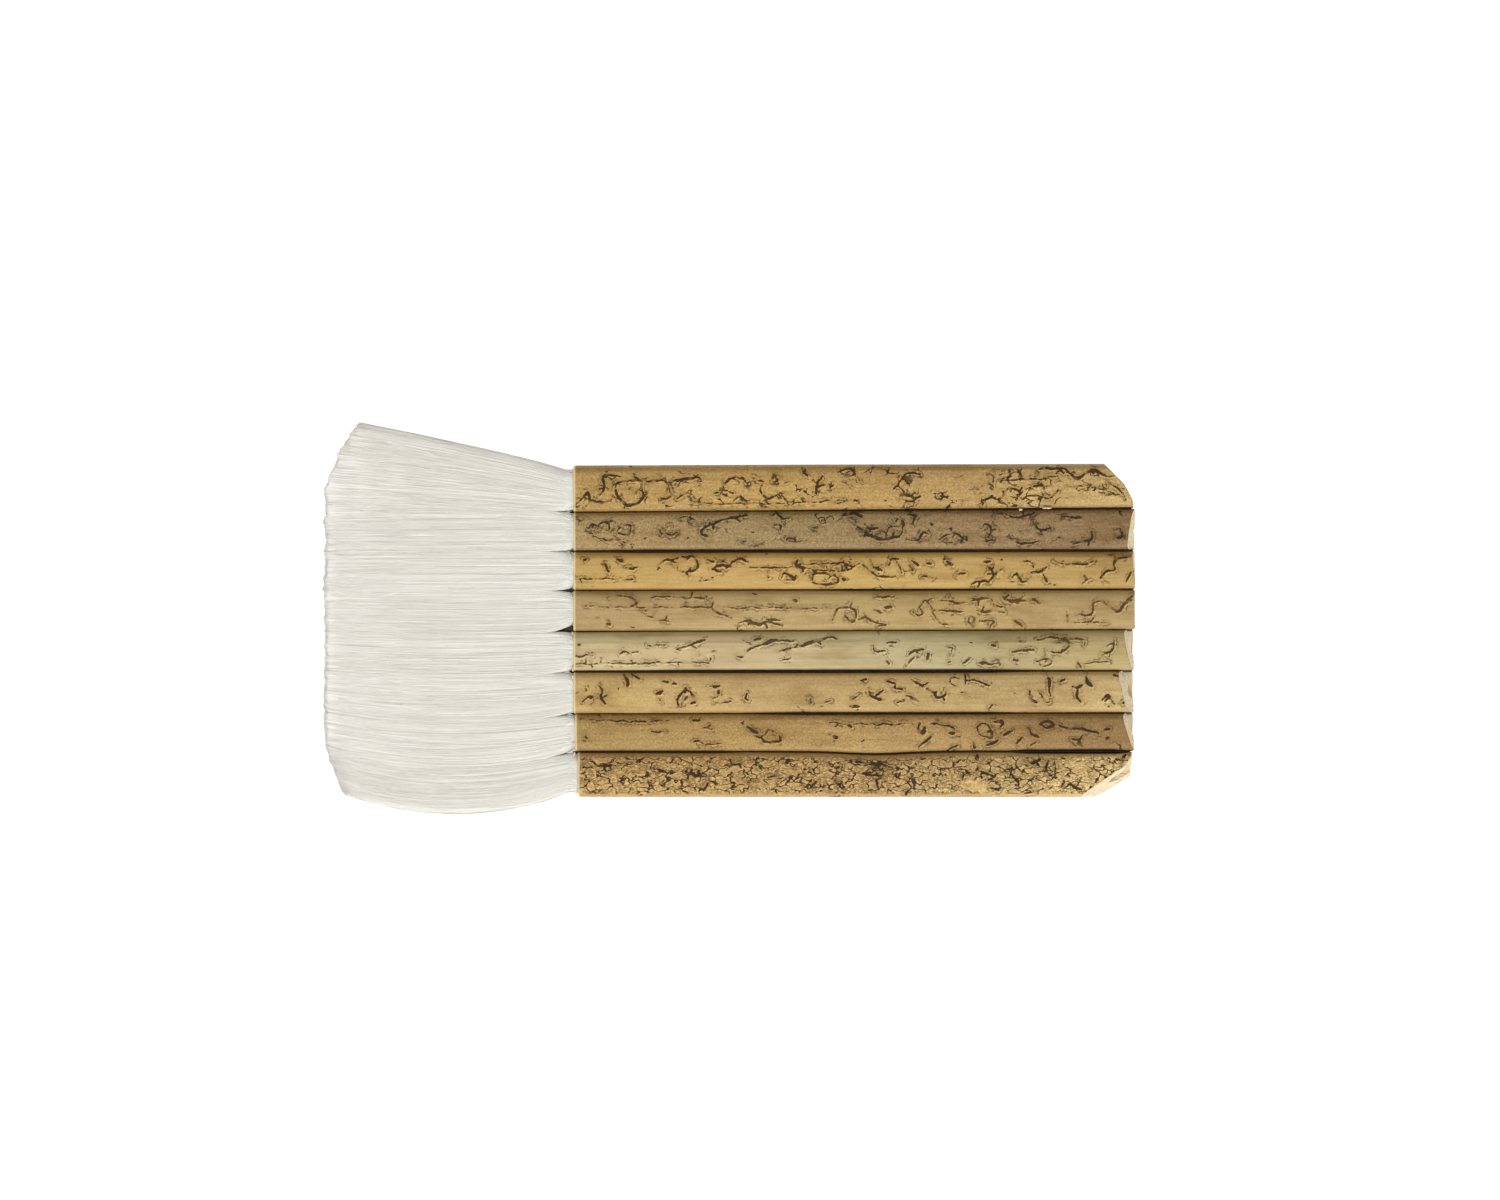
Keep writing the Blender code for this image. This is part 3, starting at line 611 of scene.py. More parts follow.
     "shaded_facet": (0.4, (0.85, 0.86, 0.82, 1.0)),
     "scars": [
         (.5, 21.2, .12, 23.9, .33, 26.9, .57), (.55, 35.6, .01, 38.1, .3, 41.5, .54, 45, .51),
         (.35, 34.6, .54, 36.5, .33), (.55, 41.9, -.01, 47.3, .3, 52.5, .7, 54, .62), (.4, 36.9, .54, 38.1, .56),
         (.3, 43.5, -.04, 44.6, -.31, 42.7, -.45), (.7, 9.8, -.08, 10.6, 0, 11.4, -.1),
         (.2, 11.4, -.08, 13.1, -.04), (.25, .4, -.63, 14.4, -.57, 22.3, -.55, 28.1, -.6),
         (.3, 2.7, -.2, 2.5, -.57), (.25, .4, -.26, 3.9, -.17), (.2, 15, .3, 18.9, .31),
         (.3, 25.6, .06, 25.8, -.2), (.35, 33.5, -.26, 34.4, -.31), (.35, 61.4, .27, 61.8, -.03, 63.9, -.03),
         (.35, 63.9, .42, 65.9, .42), (.45, 63.9, -.48, 64.5, -.63), (.4, 68.4, -.23, 69.4, -.03, 71.4, .04),
         (.4, 72.3, -.43, 72.7, -.18), (.3, 68, -.83, 69.8, -.28), (.3, 76.5, .1, 77.6, .07, 77, -.23),
         (.45, 76.5, -.63, 77, -.56), (.45, 79.7, -.63, 81, -.38), (.5, 83, -.63, 84.5, -.65),
         (.4, 85.4, -.53, 87, -.48, 86.2, -.7, 85.4, -.53), (.4, 85.6, .22, 86.2, .24), (.5, 90, -.48, 90.6, -.5),
         (.45, 90.9, .47, 92.1, .44), (.4, 89.9, -.06, 91.3, -.03, 94, .04),
         (.35, 94.8, .57, 97.6, .64, 100.7, .54, 101.3, .17, 99.5, -.08, 96.8, -.03),
         (.3, 101.5, .57, 104.4, .57, 104.4, .17), (.3, 94.6, -.53, 96.4, -.41, 97.8, -.58, 96.2, -.83, 94.6, -.53),
         (.35, 103, -.53, 103.6, -.83), (.25, 103.8, -.63, 109.1, -.6),
         (.25, 110.5, .57, 110.1, .02, 107.8, -.28)]},
    {"skin": [(210, 179, 116), (202, 171, 113), (202, 170, 112), (203, 175, 118), (214, 185, 129)],
     "flaked": 0.22, "crackled": 0.0, "flecked": 0.4, "sandy": 0.5, "dark": (58, 34, 10),
     "shaded_facet": (0.8, (0.88, 0.84, 0.76, 1.0)),
     "scars": [
         (.45, 2.5, .31, 2.8, .1), (.45, 5.4, .31, 6, .15, 5.8, -.2, 6.4, -.51), (.35, 5.8, -.18, 7.1, -.12),
         (.35, 2, -.41, 3.3, -.15, 4.3, -.36, 3.6, -.55), (.6, 10.4, .84, 10.9, .61, 11.2, .36),
         (.45, 11.8, .92, 13.5, .66), (.6, 17.1, -.05, 18.1, .05), (.35, 17.3, -.26, 17.9, -.43),
         (.5, 21.4, -.59, 21.4, -.26, 23.2, .15, 25, -.36, 24.1, -.49), (.35, 22.3, -.46, 23.2, -.2),
         (.45, 27.8, .33, 29.7, .33), (.6, 29.7, .15, 29.6, -.02), (.35, 28.5, -.26, 29.8, -.1),
         (.3, 28.5, -.33, 29.6, -.46, 32.1, -.43), (.4, 35.4, 0, 35.2, -.26, 35.7, -.39),
         (.5, 48, -.18, 48.5, -.51), (.6, 51.3, -.46, 52.7, -.41), (.4, 56.9, -.36, 58.5, -.1),
         (.5, 56.7, -.66, 58.3, -.71), (.35, 18.3, .53, 19.3, .51), (.35, 20.2, .49, 21, .46),
         (.5, 58.6, .58, 59.6, .58), (.5, 60.4, .07, 60.8, -.17, 62, -.32, 63.4, -.32),
         (.5, 64.3, .55, 65.7, .41, 65.9, .17, 67.3, .12), (.35, 63.4, .17, 61.8, -.1),
         (.4, 66.1, -.51, 67.5, -.42), (.4, 68, -.13, 70.6, -.47), (.5, 69, .6, 71, .36, 72.5, .46),
         (.5, 72.5, .17, 73.7, -.03, 74.5, -.22, 75.9, -.17, 76.1, .07),
         (.3, 76.9, .46, 77.2, .7, 78.8, .7), (.3, 76.9, .41, 78.2, .29), (.45, 80, .84, 80.2, .36),
         (.45, 80.4, .58, 81.9, .58, 84.9, .29), (.35, 79.2, .02, 80.4, 0), (.45, 93.1, .07, 93.5, -.32, 94.6, -.56),
         (.55, 95, .12, 95.6, -.13, 96.4, -.47, 97.2, -.51), (.6, 96.8, .8, 97.2, .4, 97.6, -.17),
         (.7, 99.1, .5, 100.5, .6), (.6, 101.9, .26, 102.9, .17, 102.7, -.22, 103.6, -.51),
         (.5, 102.9, .17, 104, .36), (.65, 104.4, .83, 105, .5, 105.8, .31),
         (.5, 108.1, -.42, 109.1, -.17, 110.7, -.56), (.5, 110.3, .8, 111.2, .76), (.5, 112, -.56, 113, -.47),
         (.35, 84.9, -.85, 85.6, -.61)]},
    {"skin": [(185, 154, 94), (191, 157, 96), (195, 162, 103), (186, 153, 96), (163, 131, 81)],
     "flaked": 0.22, "crackled": 0.15, "flecked": 0.3, "sandy": 0.9, "dark": (62, 38, 14),
     "shaded_facet": (0.66, (0.86, 0.82, 0.74, 1.0)),
     "scars": [
         (.35, 38.9, -.13, 39.8, .14, 41.7, -.13, 41.7, -.45, 38.9, -.45, 38.3, -.18, 38.9, -.13),
         (.5, 35.2, .3, 37.3, -.02), (.4, 24.5, -.45, 25.8, -.45, 26.6, -.65), (.25, 26.9, -.58, 29.7, -.58),
         (.4, 24.3, .65, 25.4, .62), (.35, 26.4, .3, 28.1, .19), (.4, 2, -.24, 2.4, -.26),
         (.6, 52.9, -.18, 53.6, -.22),
         (.4, 55.8, .41, 56.5, .4), (.2, 51.9, .55, 55.2, .55), (.2, 1, .73, 10.2, .6, 19.3, .62),
         (.3, 15.6, .1, 18.5, .06), (.2, 56.9, .53, 69.4, .5),
         (.5, 70.4, .47, 70.2, .17, 71, -.03, 71.7, .17, 71.2, .32), (.6, 70.4, -.74, 71.6, -.48, 72.7, -.23),
         (.45, 73.1, .47, 73.9, .46), (.55, 76.6, .02, 77.4, -.03), (.25, 74.1, .42, 76.5, .37, 78.6, .02),
         (.3, 76.1, -.95, 78.2, -.69), (.5, 82.3, .22, 83.5, .47, 85.1, .02, 84.9, -.28, 82.7, -.08, 82.3, .22),
         (.5, 85.6, .58, 87.4, .53, 87, .32), (.5, 83.9, -.67, 85.3, -.59, 86.4, -.43),
         (.55, 87.6, -.11, 89.4, .04),
         (.5, 90.3, -.59, 91.3, -.28), (.4, 81.5, -.48, 81.7, -.79), (.4, 92.7, .32, 93.3, -.13, 94.8, -.28),
         (.45, 95, .42, 96.4, .58, 97.8, .42, 96.4, .2, 95, .42),
         (.4, 98.3, .42, 100.7, .22, 103.8, .17, 106.8, -.06),
         (.45, 103.6, -.18, 103, -.48, 103.6, -.71), (.5, 108.1, .17, 109, .2), (.35, 92.9, -.79, 94.4, -.48)]},
    {"skin": [(207, 170, 108), (203, 167, 106), (205, 169, 110), (204, 172, 114), (229, 198, 137)],
     "flaked": 0.35, "crackled": 1.0, "flecked": 0.35, "sandy": 1.0, "dark": (42, 24, 8),
     "shaded_facet": (0.8, (0.84, 0.82, 0.78, 1.0)),
     "scars": [
         (.6, 91.7, .62, 93.1, .54, 94.4, .69), (.45, 96.4, .69, 95.6, .33, 96.4, -.03, 97.6, .2, 97.4, .6),
         (.5, 81.3, .2, 83.5, .1, 85.1, -.12, 83.9, -.2), (.5, 77.6, .15, 80, .1), (.55, 81.5, .87, 81.7, .69),
         (.45, 66.5, -.45, 67.3, -.61, 66.9, -.83), (.5, 61.1, -.16, 61.4, -.61),
         (.6, 56.9, .6, 60.8, .57, 64.5, .37),
         (.5, 58, .1, 61.2, .02, 62.5, .1), (.45, 88.5, .02, 89.9, -.34), (.4, 87, .2, 88.7, .29, 88.3, -.07),
         (.45, 84.3, -.61, 86, -.65), (.4, 91.3, -.79, 93.3, -.77), (.45, 99.3, -.61, 100.7, -.43, 103, -.7),
         (.7, 111, .55, 112, .87), (.4, 1.2, .38, 6.8, .38), (.6, 21.9, .16, 24.4, -.03, 26.4, -.08),
         (.5, 26.7, -.26, 26.2, -.55), (.35, 15.6, .3, 18.5, .1), (.35, 39, -.08, 41, -.1),
         (.45, 47.5, -.6, 48.5, -.3), (.4, 52.7, -.26, 54, -.64), (.45, 30.2, .44, 33.1, .47)]},
]


def flakes(tree, cane, spot, curled, fade, scar):
    """Small lifted islands of skin: their scalloped dark edges, themselves, and a tone for each."""
    islands = add_node(tree, "TexVoronoi", {"Vector": stretched(tree, curled, 0.7, 1.0, 1.0), "Scale": 0.42})
    away = calculate(tree, "SUBTRACT", islands.outputs["Distance"], 0.46)
    edge_width = calculate(tree, "MULTIPLY_ADD", ramp_up(tree, fade, 0.38, 0.62), 0.055, 0.004)
    edge = calculate(tree, "DIVIDE", calculate(tree, "ABSOLUTE", away), edge_width)
    edge = calculate(tree, "MULTIPLY", ramp_up(tree, edge, 1.25, 0.7), ramp_up(tree, fade, 0.36, 0.46))
    patch = noise(tree, stretched(tree, spot, 0.5, 1.0, 1.0), 0.16, 2.0)
    threshold = 0.74 - 0.36 * cane["flaked"]
    beside = calculate(tree, "MULTIPLY", ramp_up(tree, scar, 1.1, 0.5), 1.6 * cane["flaked"])
    patch = calculate(tree, "MAXIMUM", ramp_up(tree, patch, threshold, threshold + 0.06), beside)
    lifted = calculate(tree, "MULTIPLY", ramp_up(tree, away, 0.03, -0.03), patch)
    tone = add_node(tree, "SeparateColor", {"Color": islands.outputs["Color"]}).outputs[0]
    return calculate(tree, "MULTIPLY", edge, patch), lifted, ramp_up(tree, tone, 0.45, 0.55)


def crackle(tree, cane, spot, curled, side):
    """A fine broken net of cracks and the painted highlights on the rims beside them, stopping short of a stem's
    sides.
    """
    cells, small = [add_node(tree, "TexVoronoi", {"Vector": stretched(tree, curled, 0.42, 1.0, 1.0), "Scale": scale},
                             feature="DISTANCE_TO_EDGE").outputs["Distance"] for scale in (0.76, 1.7)]
    gaps = noise(tree, stretched(tree, spot, 0.7, 1.0, 1.0), 0.7, 2.0, 0.6)
    coarse = calculate(tree, "MULTIPLY", ramp_up(tree, cells, 0.11, 0.03), ramp_up(tree, gaps, 0.4, 0.5))
    fine = calculate(tree, "MULTIPLY", ramp_up(tree, small, 0.15, 0.04), ramp_up(tree, gaps, 0.62, 0.44))
    crack = calculate(tree, "MAXIMUM", coarse, calculate(tree, "MULTIPLY", fine, 0.55))
    patch = noise(tree, stretched(tree, spot, 0.4, 1.0, 1.0), 0.22, 3.0)
    threshold = 0.70 - 0.42 * cane["crackled"]
    crack = calculate(tree, "MULTIPLY", crack, ramp_up(tree, patch, threshold, threshold + 0.08))
    # Painted highlight along the rims of the coarse cracks
    rim_highlight = calculate(tree, "MULTIPLY", ramp_up(tree, cells, 0.28, 0.15), cane["crackled"])
    smooth_edge = calculate(tree, "MULTIPLY", ramp_up(tree, side, -0.88, -0.78), ramp_up(tree, side, 0.9, 0.72))
    return [calculate(tree, "MULTIPLY", share, smooth_edge) for share in (crack, rim_highlight)]


def flecks(tree, cane, curled):
    """Short dark dashes, more of them on a more flecked cane."""
    dashes = add_node(tree, "TexVoronoi", {"Vector": stretched(tree, curled, 0.45, 1.0, 1.0), "Scale": 0.8})
    chosen = add_node(tree, "SeparateColor", {"Color": dashes.outputs["Color"]}).outputs[0]
    threshold = 1.0 - 0.2 * cane["flecked"]
    return calculate(tree, "MULTIPLY", ramp_up(tree, dashes.outputs["Distance"], 0.22, 0.12),
                     ramp_up(tree, chosen, threshold, threshold + 0.01))


def scar_marks(tree, wobble, fade, scar):
    """Dark scars with a fainter line beside them, their stain, the painted highlight on their lip, and how near they
    are.
    """
    near = calculate(tree, "MULTIPLY_ADD", wobble, 1.3, scar)
    crooked = calculate(tree, "MULTIPLY_ADD", wobble, 0.5, scar)
    # The lip beside each scar is painted pale as a highlight
    lip_highlight = calculate(tree, "MULTIPLY_ADD", wobble, 0.5, mesh_layer(tree, "lip_highlight"))
    lip_highlight = calculate(tree, "MULTIPLY", ramp_up(tree, lip_highlight, 0.18, 0.04), ramp_up(tree, fade, 0.28, 0.5))
    mark = calculate(tree, "MULTIPLY", ramp_up(tree, crooked, 0.09, 0.01), ramp_up(tree, fade, 0.22, 0.46))
    echo = calculate(tree, "ABSOLUTE", calculate(tree, "SUBTRACT", near, 0.5))
    echo = calculate(tree, "MULTIPLY", ramp_up(tree, echo, 0.1, 0.03), ramp_up(tree, fade, 0.5, 0.58))
    mark = calculate(tree, "MAXIMUM", mark, calculate(tree, "MULTIPLY", echo, 0.75))
    return mark, ramp_up(tree, crooked, 0.55, 0.05), lip_highlight, ramp_up(tree, near, 0.95, 0.7)


def lengthwise_tones(tree, cane, lengthwise):
    """The cane's own colour as it changes from the mouth to the tail."""
    tones = add_node(tree, "ValToRGB", {"Fac": lengthwise})
    stops = tones.color_ramp.elements
    stops[0].position, stops[1].position = 0.1, 0.9
    stops[0].color, stops[1].color = linear(*cane["skin"][0]), linear(*cane["skin"][4])
    for step in (1, 2, 3):
        stops.new(0.1 + 0.2 * step).color = linear(*cane["skin"][step])
    return tones.outputs["Color"]


def cane_skin(index, mouth_x, tail_x):
    """Weathered cane skin: grain, curling flake edges, fine crackle, scars and dark flecks."""
    cane = CANES[index]
    material, tree, shader = new_material("cane_skin_" + str(index + 1))
    place = add_node(tree, "TexCoord").outputs["Object"]
    spot = stretched(tree, place, 1000.0, 1000.0, 1000.0)
    spot = add_node(tree, "VectorMath", {0: spot, 1: (0.0, 37.0 * index, 11.0 * index)}).outputs[0]
    curl = add_node(tree, "TexNoise", {"Vector": spot, "Scale": 0.8, "Detail": 1.0}).outputs["Color"]
    curl = add_node(tree, "VectorMath", {0: curl, 1: (0.5, 0.5, 0.5)}, operation="SUBTRACT").outputs[0]
    curled = add_node(tree, "VectorMath", {0: spot, 1: stretched(tree, curl, 1.6, 1.6, 1.6)}).outputs[0]
    wobble = calculate(tree, "SUBTRACT", noise(tree, spot, 1.7, 2.0), 0.5)
    fade = noise(tree, spot, 0.5, 1.0)
    side, scar = mesh_layer(tree, "side"), mesh_layer(tree, "scar")

    # Marks
    edge, lifted, island = flakes(tree, cane, spot, curled, fade, scar)
    crack, rim_highlight = crackle(tree, cane, spot, curled, side)
    mark, stain, lip_highlight, near = scar_marks(tree, wobble, fade, scar)
    lines = calculate(tree, "MAXIMUM", calculate(tree, "MAXIMUM", edge, crack),
                      calculate(tree, "MAXIMUM", flecks(tree, cane, curled), mark))
    # Paler lifted flakes, with painted highlights on the scar lips and the crack rims
    pale_and_highlit = calculate(tree, "MAXIMUM", calculate(tree, "MULTIPLY", lifted, 0.4), lip_highlight)
    pale_and_highlit = calculate(tree, "MAXIMUM", pale_and_highlit, calculate(tree, "MULTIPLY", rim_highlight, 0.8))

    # Ground: tone, grain, mottling, sand, and painted shade over the upper facet, towards the upper side and along
    # the lower edge
    grain = noise(tree, stretched(tree, spot, 0.05, 1.0, 1.0), 2.2, 3.0, 0.6)
    mottle = noise(tree, stretched(tree, spot, 0.35, 1.0, 1.0), 0.2, 3.0, 0.6)
    sand = noise(tree, spot, 2.6, 3.0, 0.75)
    sandy = calculate(tree, "MULTIPLY", ramp_up(tree, sand, 0.4, 0.72), cane["sandy"])
    sunlit = calculate(tree, "MULTIPLY", ramp_up(tree, sand, 0.46, 0.3), cane["sandy"])
    lengthwise = add_node(tree, "SeparateXYZ", {0: place}).outputs[0]
    lengthwise = add_node(tree, "MapRange", {"Value": lengthwise, "From Min": mouth_x,
                                             "From Max": tail_x}).outputs["Result"]
    # Painted shade: each stem's upper facet, turned away from the lamp, is darkened by its tint from where it starts
    # across the stem
    facet_shade_start, facet_shade_tint = cane["shaded_facet"]
    shaded_facet = calculate(tree, "MULTIPLY_ADD", wobble, 0.05, side)
    colour = lengthwise_tones(tree, cane, lengthwise)
    for share, tint in ((ramp_up(tree, grain, 0.35, 0.75), (0.84, 0.82, 0.78, 1.0)),
                        (ramp_up(tree, mottle, 0.45, 0.8), (0.72, 0.66, 0.54, 1.0)),
                        (sandy, (0.58, 0.52, 0.44, 1.0)), (sunlit, (1.3, 1.27, 1.2, 1.0)),
                        (ramp_up(tree, shaded_facet, facet_shade_start - 0.04, facet_shade_start + 0.04), facet_shade_tint),
                        # Painted shade: darker towards the upper side, which faces away from the lamp, and a little
                        # darker along the lower edge
                        (ramp_up(tree, side, -0.4, 0.9), (0.84, 0.82, 0.78, 1.0)),
                        (ramp_up(tree, side, -0.4, -0.95), (0.9, 0.89, 0.86, 1.0)),
                        (calculate(tree, "MULTIPLY", stain, 0.34), (0.74, 0.64, 0.46, 1.0)),
                        (calculate(tree, "MULTIPLY", island, near), (0.93, 0.92, 0.89, 1.0)),
                        (pale_and_highlit, (1.36, 1.38, 1.36, 1.0))):
        colour = mix_colour(tree, share, colour, tint, "MULTIPLY")

    # Marks over the ground, dirt and painted shade along the seams, painted shade along the outer sides,
    # and the pale sawn rim at the mouth
    edge_dirt_and_shade = mesh_layer(tree, "edge_dirt_and_shade")
    # Dark band along each edge: dirt and painted shade of the groove at the seams, painted shade along the outer
    # sides
    edge_dirt_and_shade_band = ramp_up(tree, calculate(tree, "ABSOLUTE", side), calculate(tree, "MULTIPLY_ADD", edge_dirt_and_shade, -1.5, 0.985),
                    calculate(tree, "MULTIPLY_ADD", edge_dirt_and_shade, -0.3, 0.985))
    edge_dirt_and_shade_band = calculate(tree, "MULTIPLY", edge_dirt_and_shade_band, calculate(tree, "MULTIPLY_ADD", edge_dirt_and_shade, 7.0, 0.5))
    for share, paint in ((calculate(tree, "MULTIPLY", lines, 0.97), cane["dark"]), (edge_dirt_and_shade_band, (34, 22, 10)),
                         (ramp_up(tree, lengthwise, 0.005, 0.0025), (228, 206, 162))):
        colour = mix_colour(tree, share, colour, linear(*paint))
    tree.links.new(colour, shader.inputs["Base Color"])
    tree.links.new(calculate(tree, "MULTIPLY_ADD", lines, 0.25, 0.5), shader.inputs["Roughness"])
    shader.inputs["Specular IOR Level"].default_value = 0.3

    height = calculate(tree, "MULTIPLY", calculate(tree, "ADD", lifted, lip_highlight), 0.05)
    for layer, share in ((lines, -0.1), (grain, 0.03), (sand, 0.02 + 0.05 * cane["sandy"])):
        height = calculate(tree, "MULTIPLY_ADD", layer, share, height)
    roughen(tree, shader, height, 1.0, 1.0)
    return material


def cut_bamboo():
    """Bare bamboo where it is sawn, drilled or sanded: pale wood dotted with fibre ends."""
    material, tree, shader = new_material("cut_bamboo")
    place = add_node(tree, "TexCoord").outputs["Object"]
    dots = add_node(tree, "TexVoronoi", {"Vector": stretched(tree, place, 150.0, 1000.0, 1000.0), "Scale": 2.2})
    dots = ramp_up(tree, dots.outputs["Distance"], 0.42, 0.2)
    tone = noise(tree, stretched(tree, place, 300.0, 1000.0, 1000.0), 0.8, 3.0)
    colour = mix_colour(tree, tone, linear(206, 184, 142), linear(238, 222, 190))
    colour = mix_colour(tree, calculate(tree, "MULTIPLY", dots, 0.45), colour, linear(140, 108, 66))
    tree.links.new(colour, shader.inputs["Base Color"])
    shader.inputs["Roughness"].default_value = 0.8
    roughen(tree, shader, calculate(tree, "SUBTRACT", tone, dots), 0.6, 0.06)
    return material


bare = cut_bamboo()
for index in range(STEM_COUNT):
    name = "stem_" + str(index + 1)
    low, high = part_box(name)
    skin = cane_skin(index, low.x, high.x)
    stem = add_piece("bamboo_" + name, stem_mesh(index, CANES[index]["scars"]), skin, bare)
    cut_away(stem, stem_cutters(index, bare))
    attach(stem, "handle")
    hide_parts(name)


# Glue in the seams
# The stems are bedded together in dark glue, which has taken up dirt along every seam. It stands a
# little below the skins, and at two of the seams it runs out in a long dark point between the tufts,
# which is partly glue and partly painted shade of the deep notch there.
GLUE_STEPS = 160
GLUE_TOP = 5.7 * MM
GLUE_BOTTOM = 2.3 * MM
GLUE_HALF = 0.32 * MM
# Seam, mm from the mouth, mm above the seam, length, width and height of each pale drop
PALE_DROPS = [(0, 96.8, 0, 2.0, .4, 7.5), (0, 91.4, -.3, .8, .5, 7.5), (4, -.1, .4, .5, .9, 7.2),
              (4, -.1, -1.2, .4, .7, 7.4), (6, -.1, -.6, .5, 1.0, 7.2), (6, -.1, 1.3, .4, 1.1, 7.5),
              (3, -.1, -.5, .4, .6, 7.2)]
# How far each seam's glue runs out beyond the mouth, and its width there. The two long runs are partly
# glue and partly painted shade of the deep notches between the tufts.
GLUE_RUNS_AND_NOTCH_SHADE = [(0.9, 0.7), (0.9, 0.7), (4.3, 0.9), (4.3, 1.5), (1.1, 0.8), (1.0, 0.7), (1.2, 0.8)]


def seam_glue(index):
    """One seam's glue, a thin upright strip whose nose tapers off beyond the mouth; the two long noses are partly
    painted shade of the notch between the tufts.
    """
    above = stem_ends("stem_" + str(index + 1), index)
    below = stem_ends("stem_" + str(index + 2), index + 1)
    # The long dark noses at two seams stand partly for the shade of the notch between the tufts
    run, nose_width = GLUE_RUNS_AND_NOTCH_SHADE[index]
    mouth_x = max(above[0], below[0])
    tail_x = min(above[1], below[1]) - 0.4 * MM
    nose = np.linspace(-run * MM, 0.0, 24, endpoint=False)
    x = np.concatenate([mouth_x + nose, np.linspace(mouth_x, tail_x, GLUE_STEPS)])
    share = np.clip((x - mouth_x) / (tail_x - mouth_x), 0.0, 1.0)
    y_mouth = (above[2][0] + below[2][1]) / 2.0
    y_tail = (above[3][0] + below[3][1]) / 2.0
    y = y_mouth + (y_tail - y_mouth) * share
    if index == STEM_COUNT - 2:
        y = y - seam_sag(x)
    out = np.clip((mouth_x - x) / (run * MM), 0.0, 1.0)
    half = np.where(x < mouth_x, nose_width / 2.0 * MM * (1.0 - out) ** 1.2 + 0.02 * MM, GLUE_HALF)
    wave = lattice_noise(np.stack([x / MM * 0.5, 0.0 * x, 0.0 * x + index], axis=1), 401)
    top = GLUE_TOP + 0.15 * MM * wave - 0.6 * MM * out
    bottom = GLUE_BOTTOM - 0.1 * MM * wave + 0.8 * MM * out
    lean = np.where(x < mouth_x, half * (0.8 if index == 3 else 0.0), 0.0)
    ring = [(-1.0, 0.0), (-0.6, 0.05), (0.6, 0.05), (1.0, 0.0),
            (1.0, -1.0), (0.6, -1.05), (-0.6, -1.05), (-1.0, -1.0)]
    rows = []
    for across, level in ring:
        z = top + level * (top - bottom)
        rows.append(np.stack([x, y + lean + across * half, z], axis=1))
    points = np.stack(rows, axis=1)
    around = len(ring)
    grid = np.arange(len(x) * around).reshape(len(x), around)
    near, far = grid[:-1], grid[1:]
    faces = np.stack([near, np.roll(near, -1, axis=1), np.roll(far, -1, axis=1), far], axis=2)
    mesh = bpy.data.meshes.new("seam_glue_" + str(index + 1))
    mesh.from_pydata(points.reshape(-1, 3), [], faces.reshape(-1, 4).tolist()
                     + [grid[0][::-1].tolist(), grid[-1].tolist()])
    mesh.shade_smooth()
    return mesh


def dirty_glue():
    """Dark brown glue with dust in it, dull on top and glossier where it is clean."""
    material, tree, shader = new_material("dirty_glue")
    place = add_node(tree, "TexCoord").outputs["Object"]
    dust = noise(tree, place, 900.0, 3.0, 0.6)
    tree.links.new(mix_colour(tree, ramp_up(tree, dust, 0.4, 0.8), linear(34, 22, 12), linear(82, 60, 36)),
                   shader.inputs["Base Color"])
    tree.links.new(calculate(tree, "MULTIPLY_ADD", dust, 0.4, 0.35), shader.inputs["Roughness"])
    roughen(tree, shader, dust, 0.6, 0.1)
    return material


dark_glue = dirty_glue()
for index in range(STEM_COUNT - 1):
    glue = add_piece("seam_glue_" + str(index + 1), seam_glue(index), dark_glue)
    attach(glue, "handle")


def pale_drops():
    """Clear glue that has squeezed out and dried pale, in small flat drops."""
    shape = bmesh.new()
    for seam, along, across, length, width, height in PALE_DROPS:
        above = stem_ends("stem_" + str(seam + 1), seam)
        share = max(along, 0.0) * MM / (above[1] - above[0])
        middle = (above[0] + along * MM, above[2][0] + (above[3][0] - above[2][0]) * share + across * MM, height * MM)
        place = Matrix.Translation(middle) @ Matrix.Diagonal((length * MM, width * MM, 0.5 * MM, 1.0))
        drop = bmesh.ops.create_icosphere(shape, subdivisions=3, radius=0.5, matrix=place)
        for vertex in drop["verts"]:
            bump = lattice_noise(np.array([vertex.co]) / MM * 2.5, 501)[0]
            vertex.co += (vertex.co - Vector(middle)) * 0.35 * bump
    mesh = bpy.data.meshes.new("pale_glue_drops")
    shape.to_mesh(mesh)
    shape.free()
    mesh.shade_smooth()
    return mesh


def dried_glue():
    """Clear glue gone cloudy, from amber to nearly white."""
    material, tree, shader = new_material("dried_glue")
    cloud = noise(tree, add_node(tree, "TexCoord").outputs["Object"], 1500.0, 3.0)
    tree.links.new(mix_colour(tree, cloud, linear(190, 158, 108), linear(250, 238, 212)), shader.inputs["Base Color"])
    shader.inputs["Roughness"].default_value = 0.35
    return material


drops = add_piece("pale_glue_drops", pale_drops(), dried_glue())
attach(drops, "handle")


# Skewers
# Two round bamboo skewers run across through all eight stems and hold them in one flat row. They are
# driven into drilled holes and end flush with the outer sides, so that only their ends show.
def split_bamboo():
    """Straight-grained bamboo, darkened at the ends by handling."""
    material, tree, shader = new_material("skewer_bamboo")
    place = add_node(tree, "TexCoord").outputs["Object"]
    grain = noise(tree, stretched(tree, place, 1000.0, 40.0, 1000.0), 3.0, 3.0, 0.6)
    blotch = noise(tree, place, 260.0, 2.0)
    colour = mix_colour(tree, grain, linear(150, 114, 66), linear(206, 172, 116))
    colour = mix_colour(tree, ramp_up(tree, blotch, 0.5, 0.8), colour, linear(112, 80, 42))
    tree.links.new(colour, shader.inputs["Base Color"])
    tree.links.new(calculate(tree, "MULTIPLY_ADD", grain, 0.3, 0.45), shader.inputs["Roughness"])
    roughen(tree, shader, grain, 0.5, 0.05)
    return material


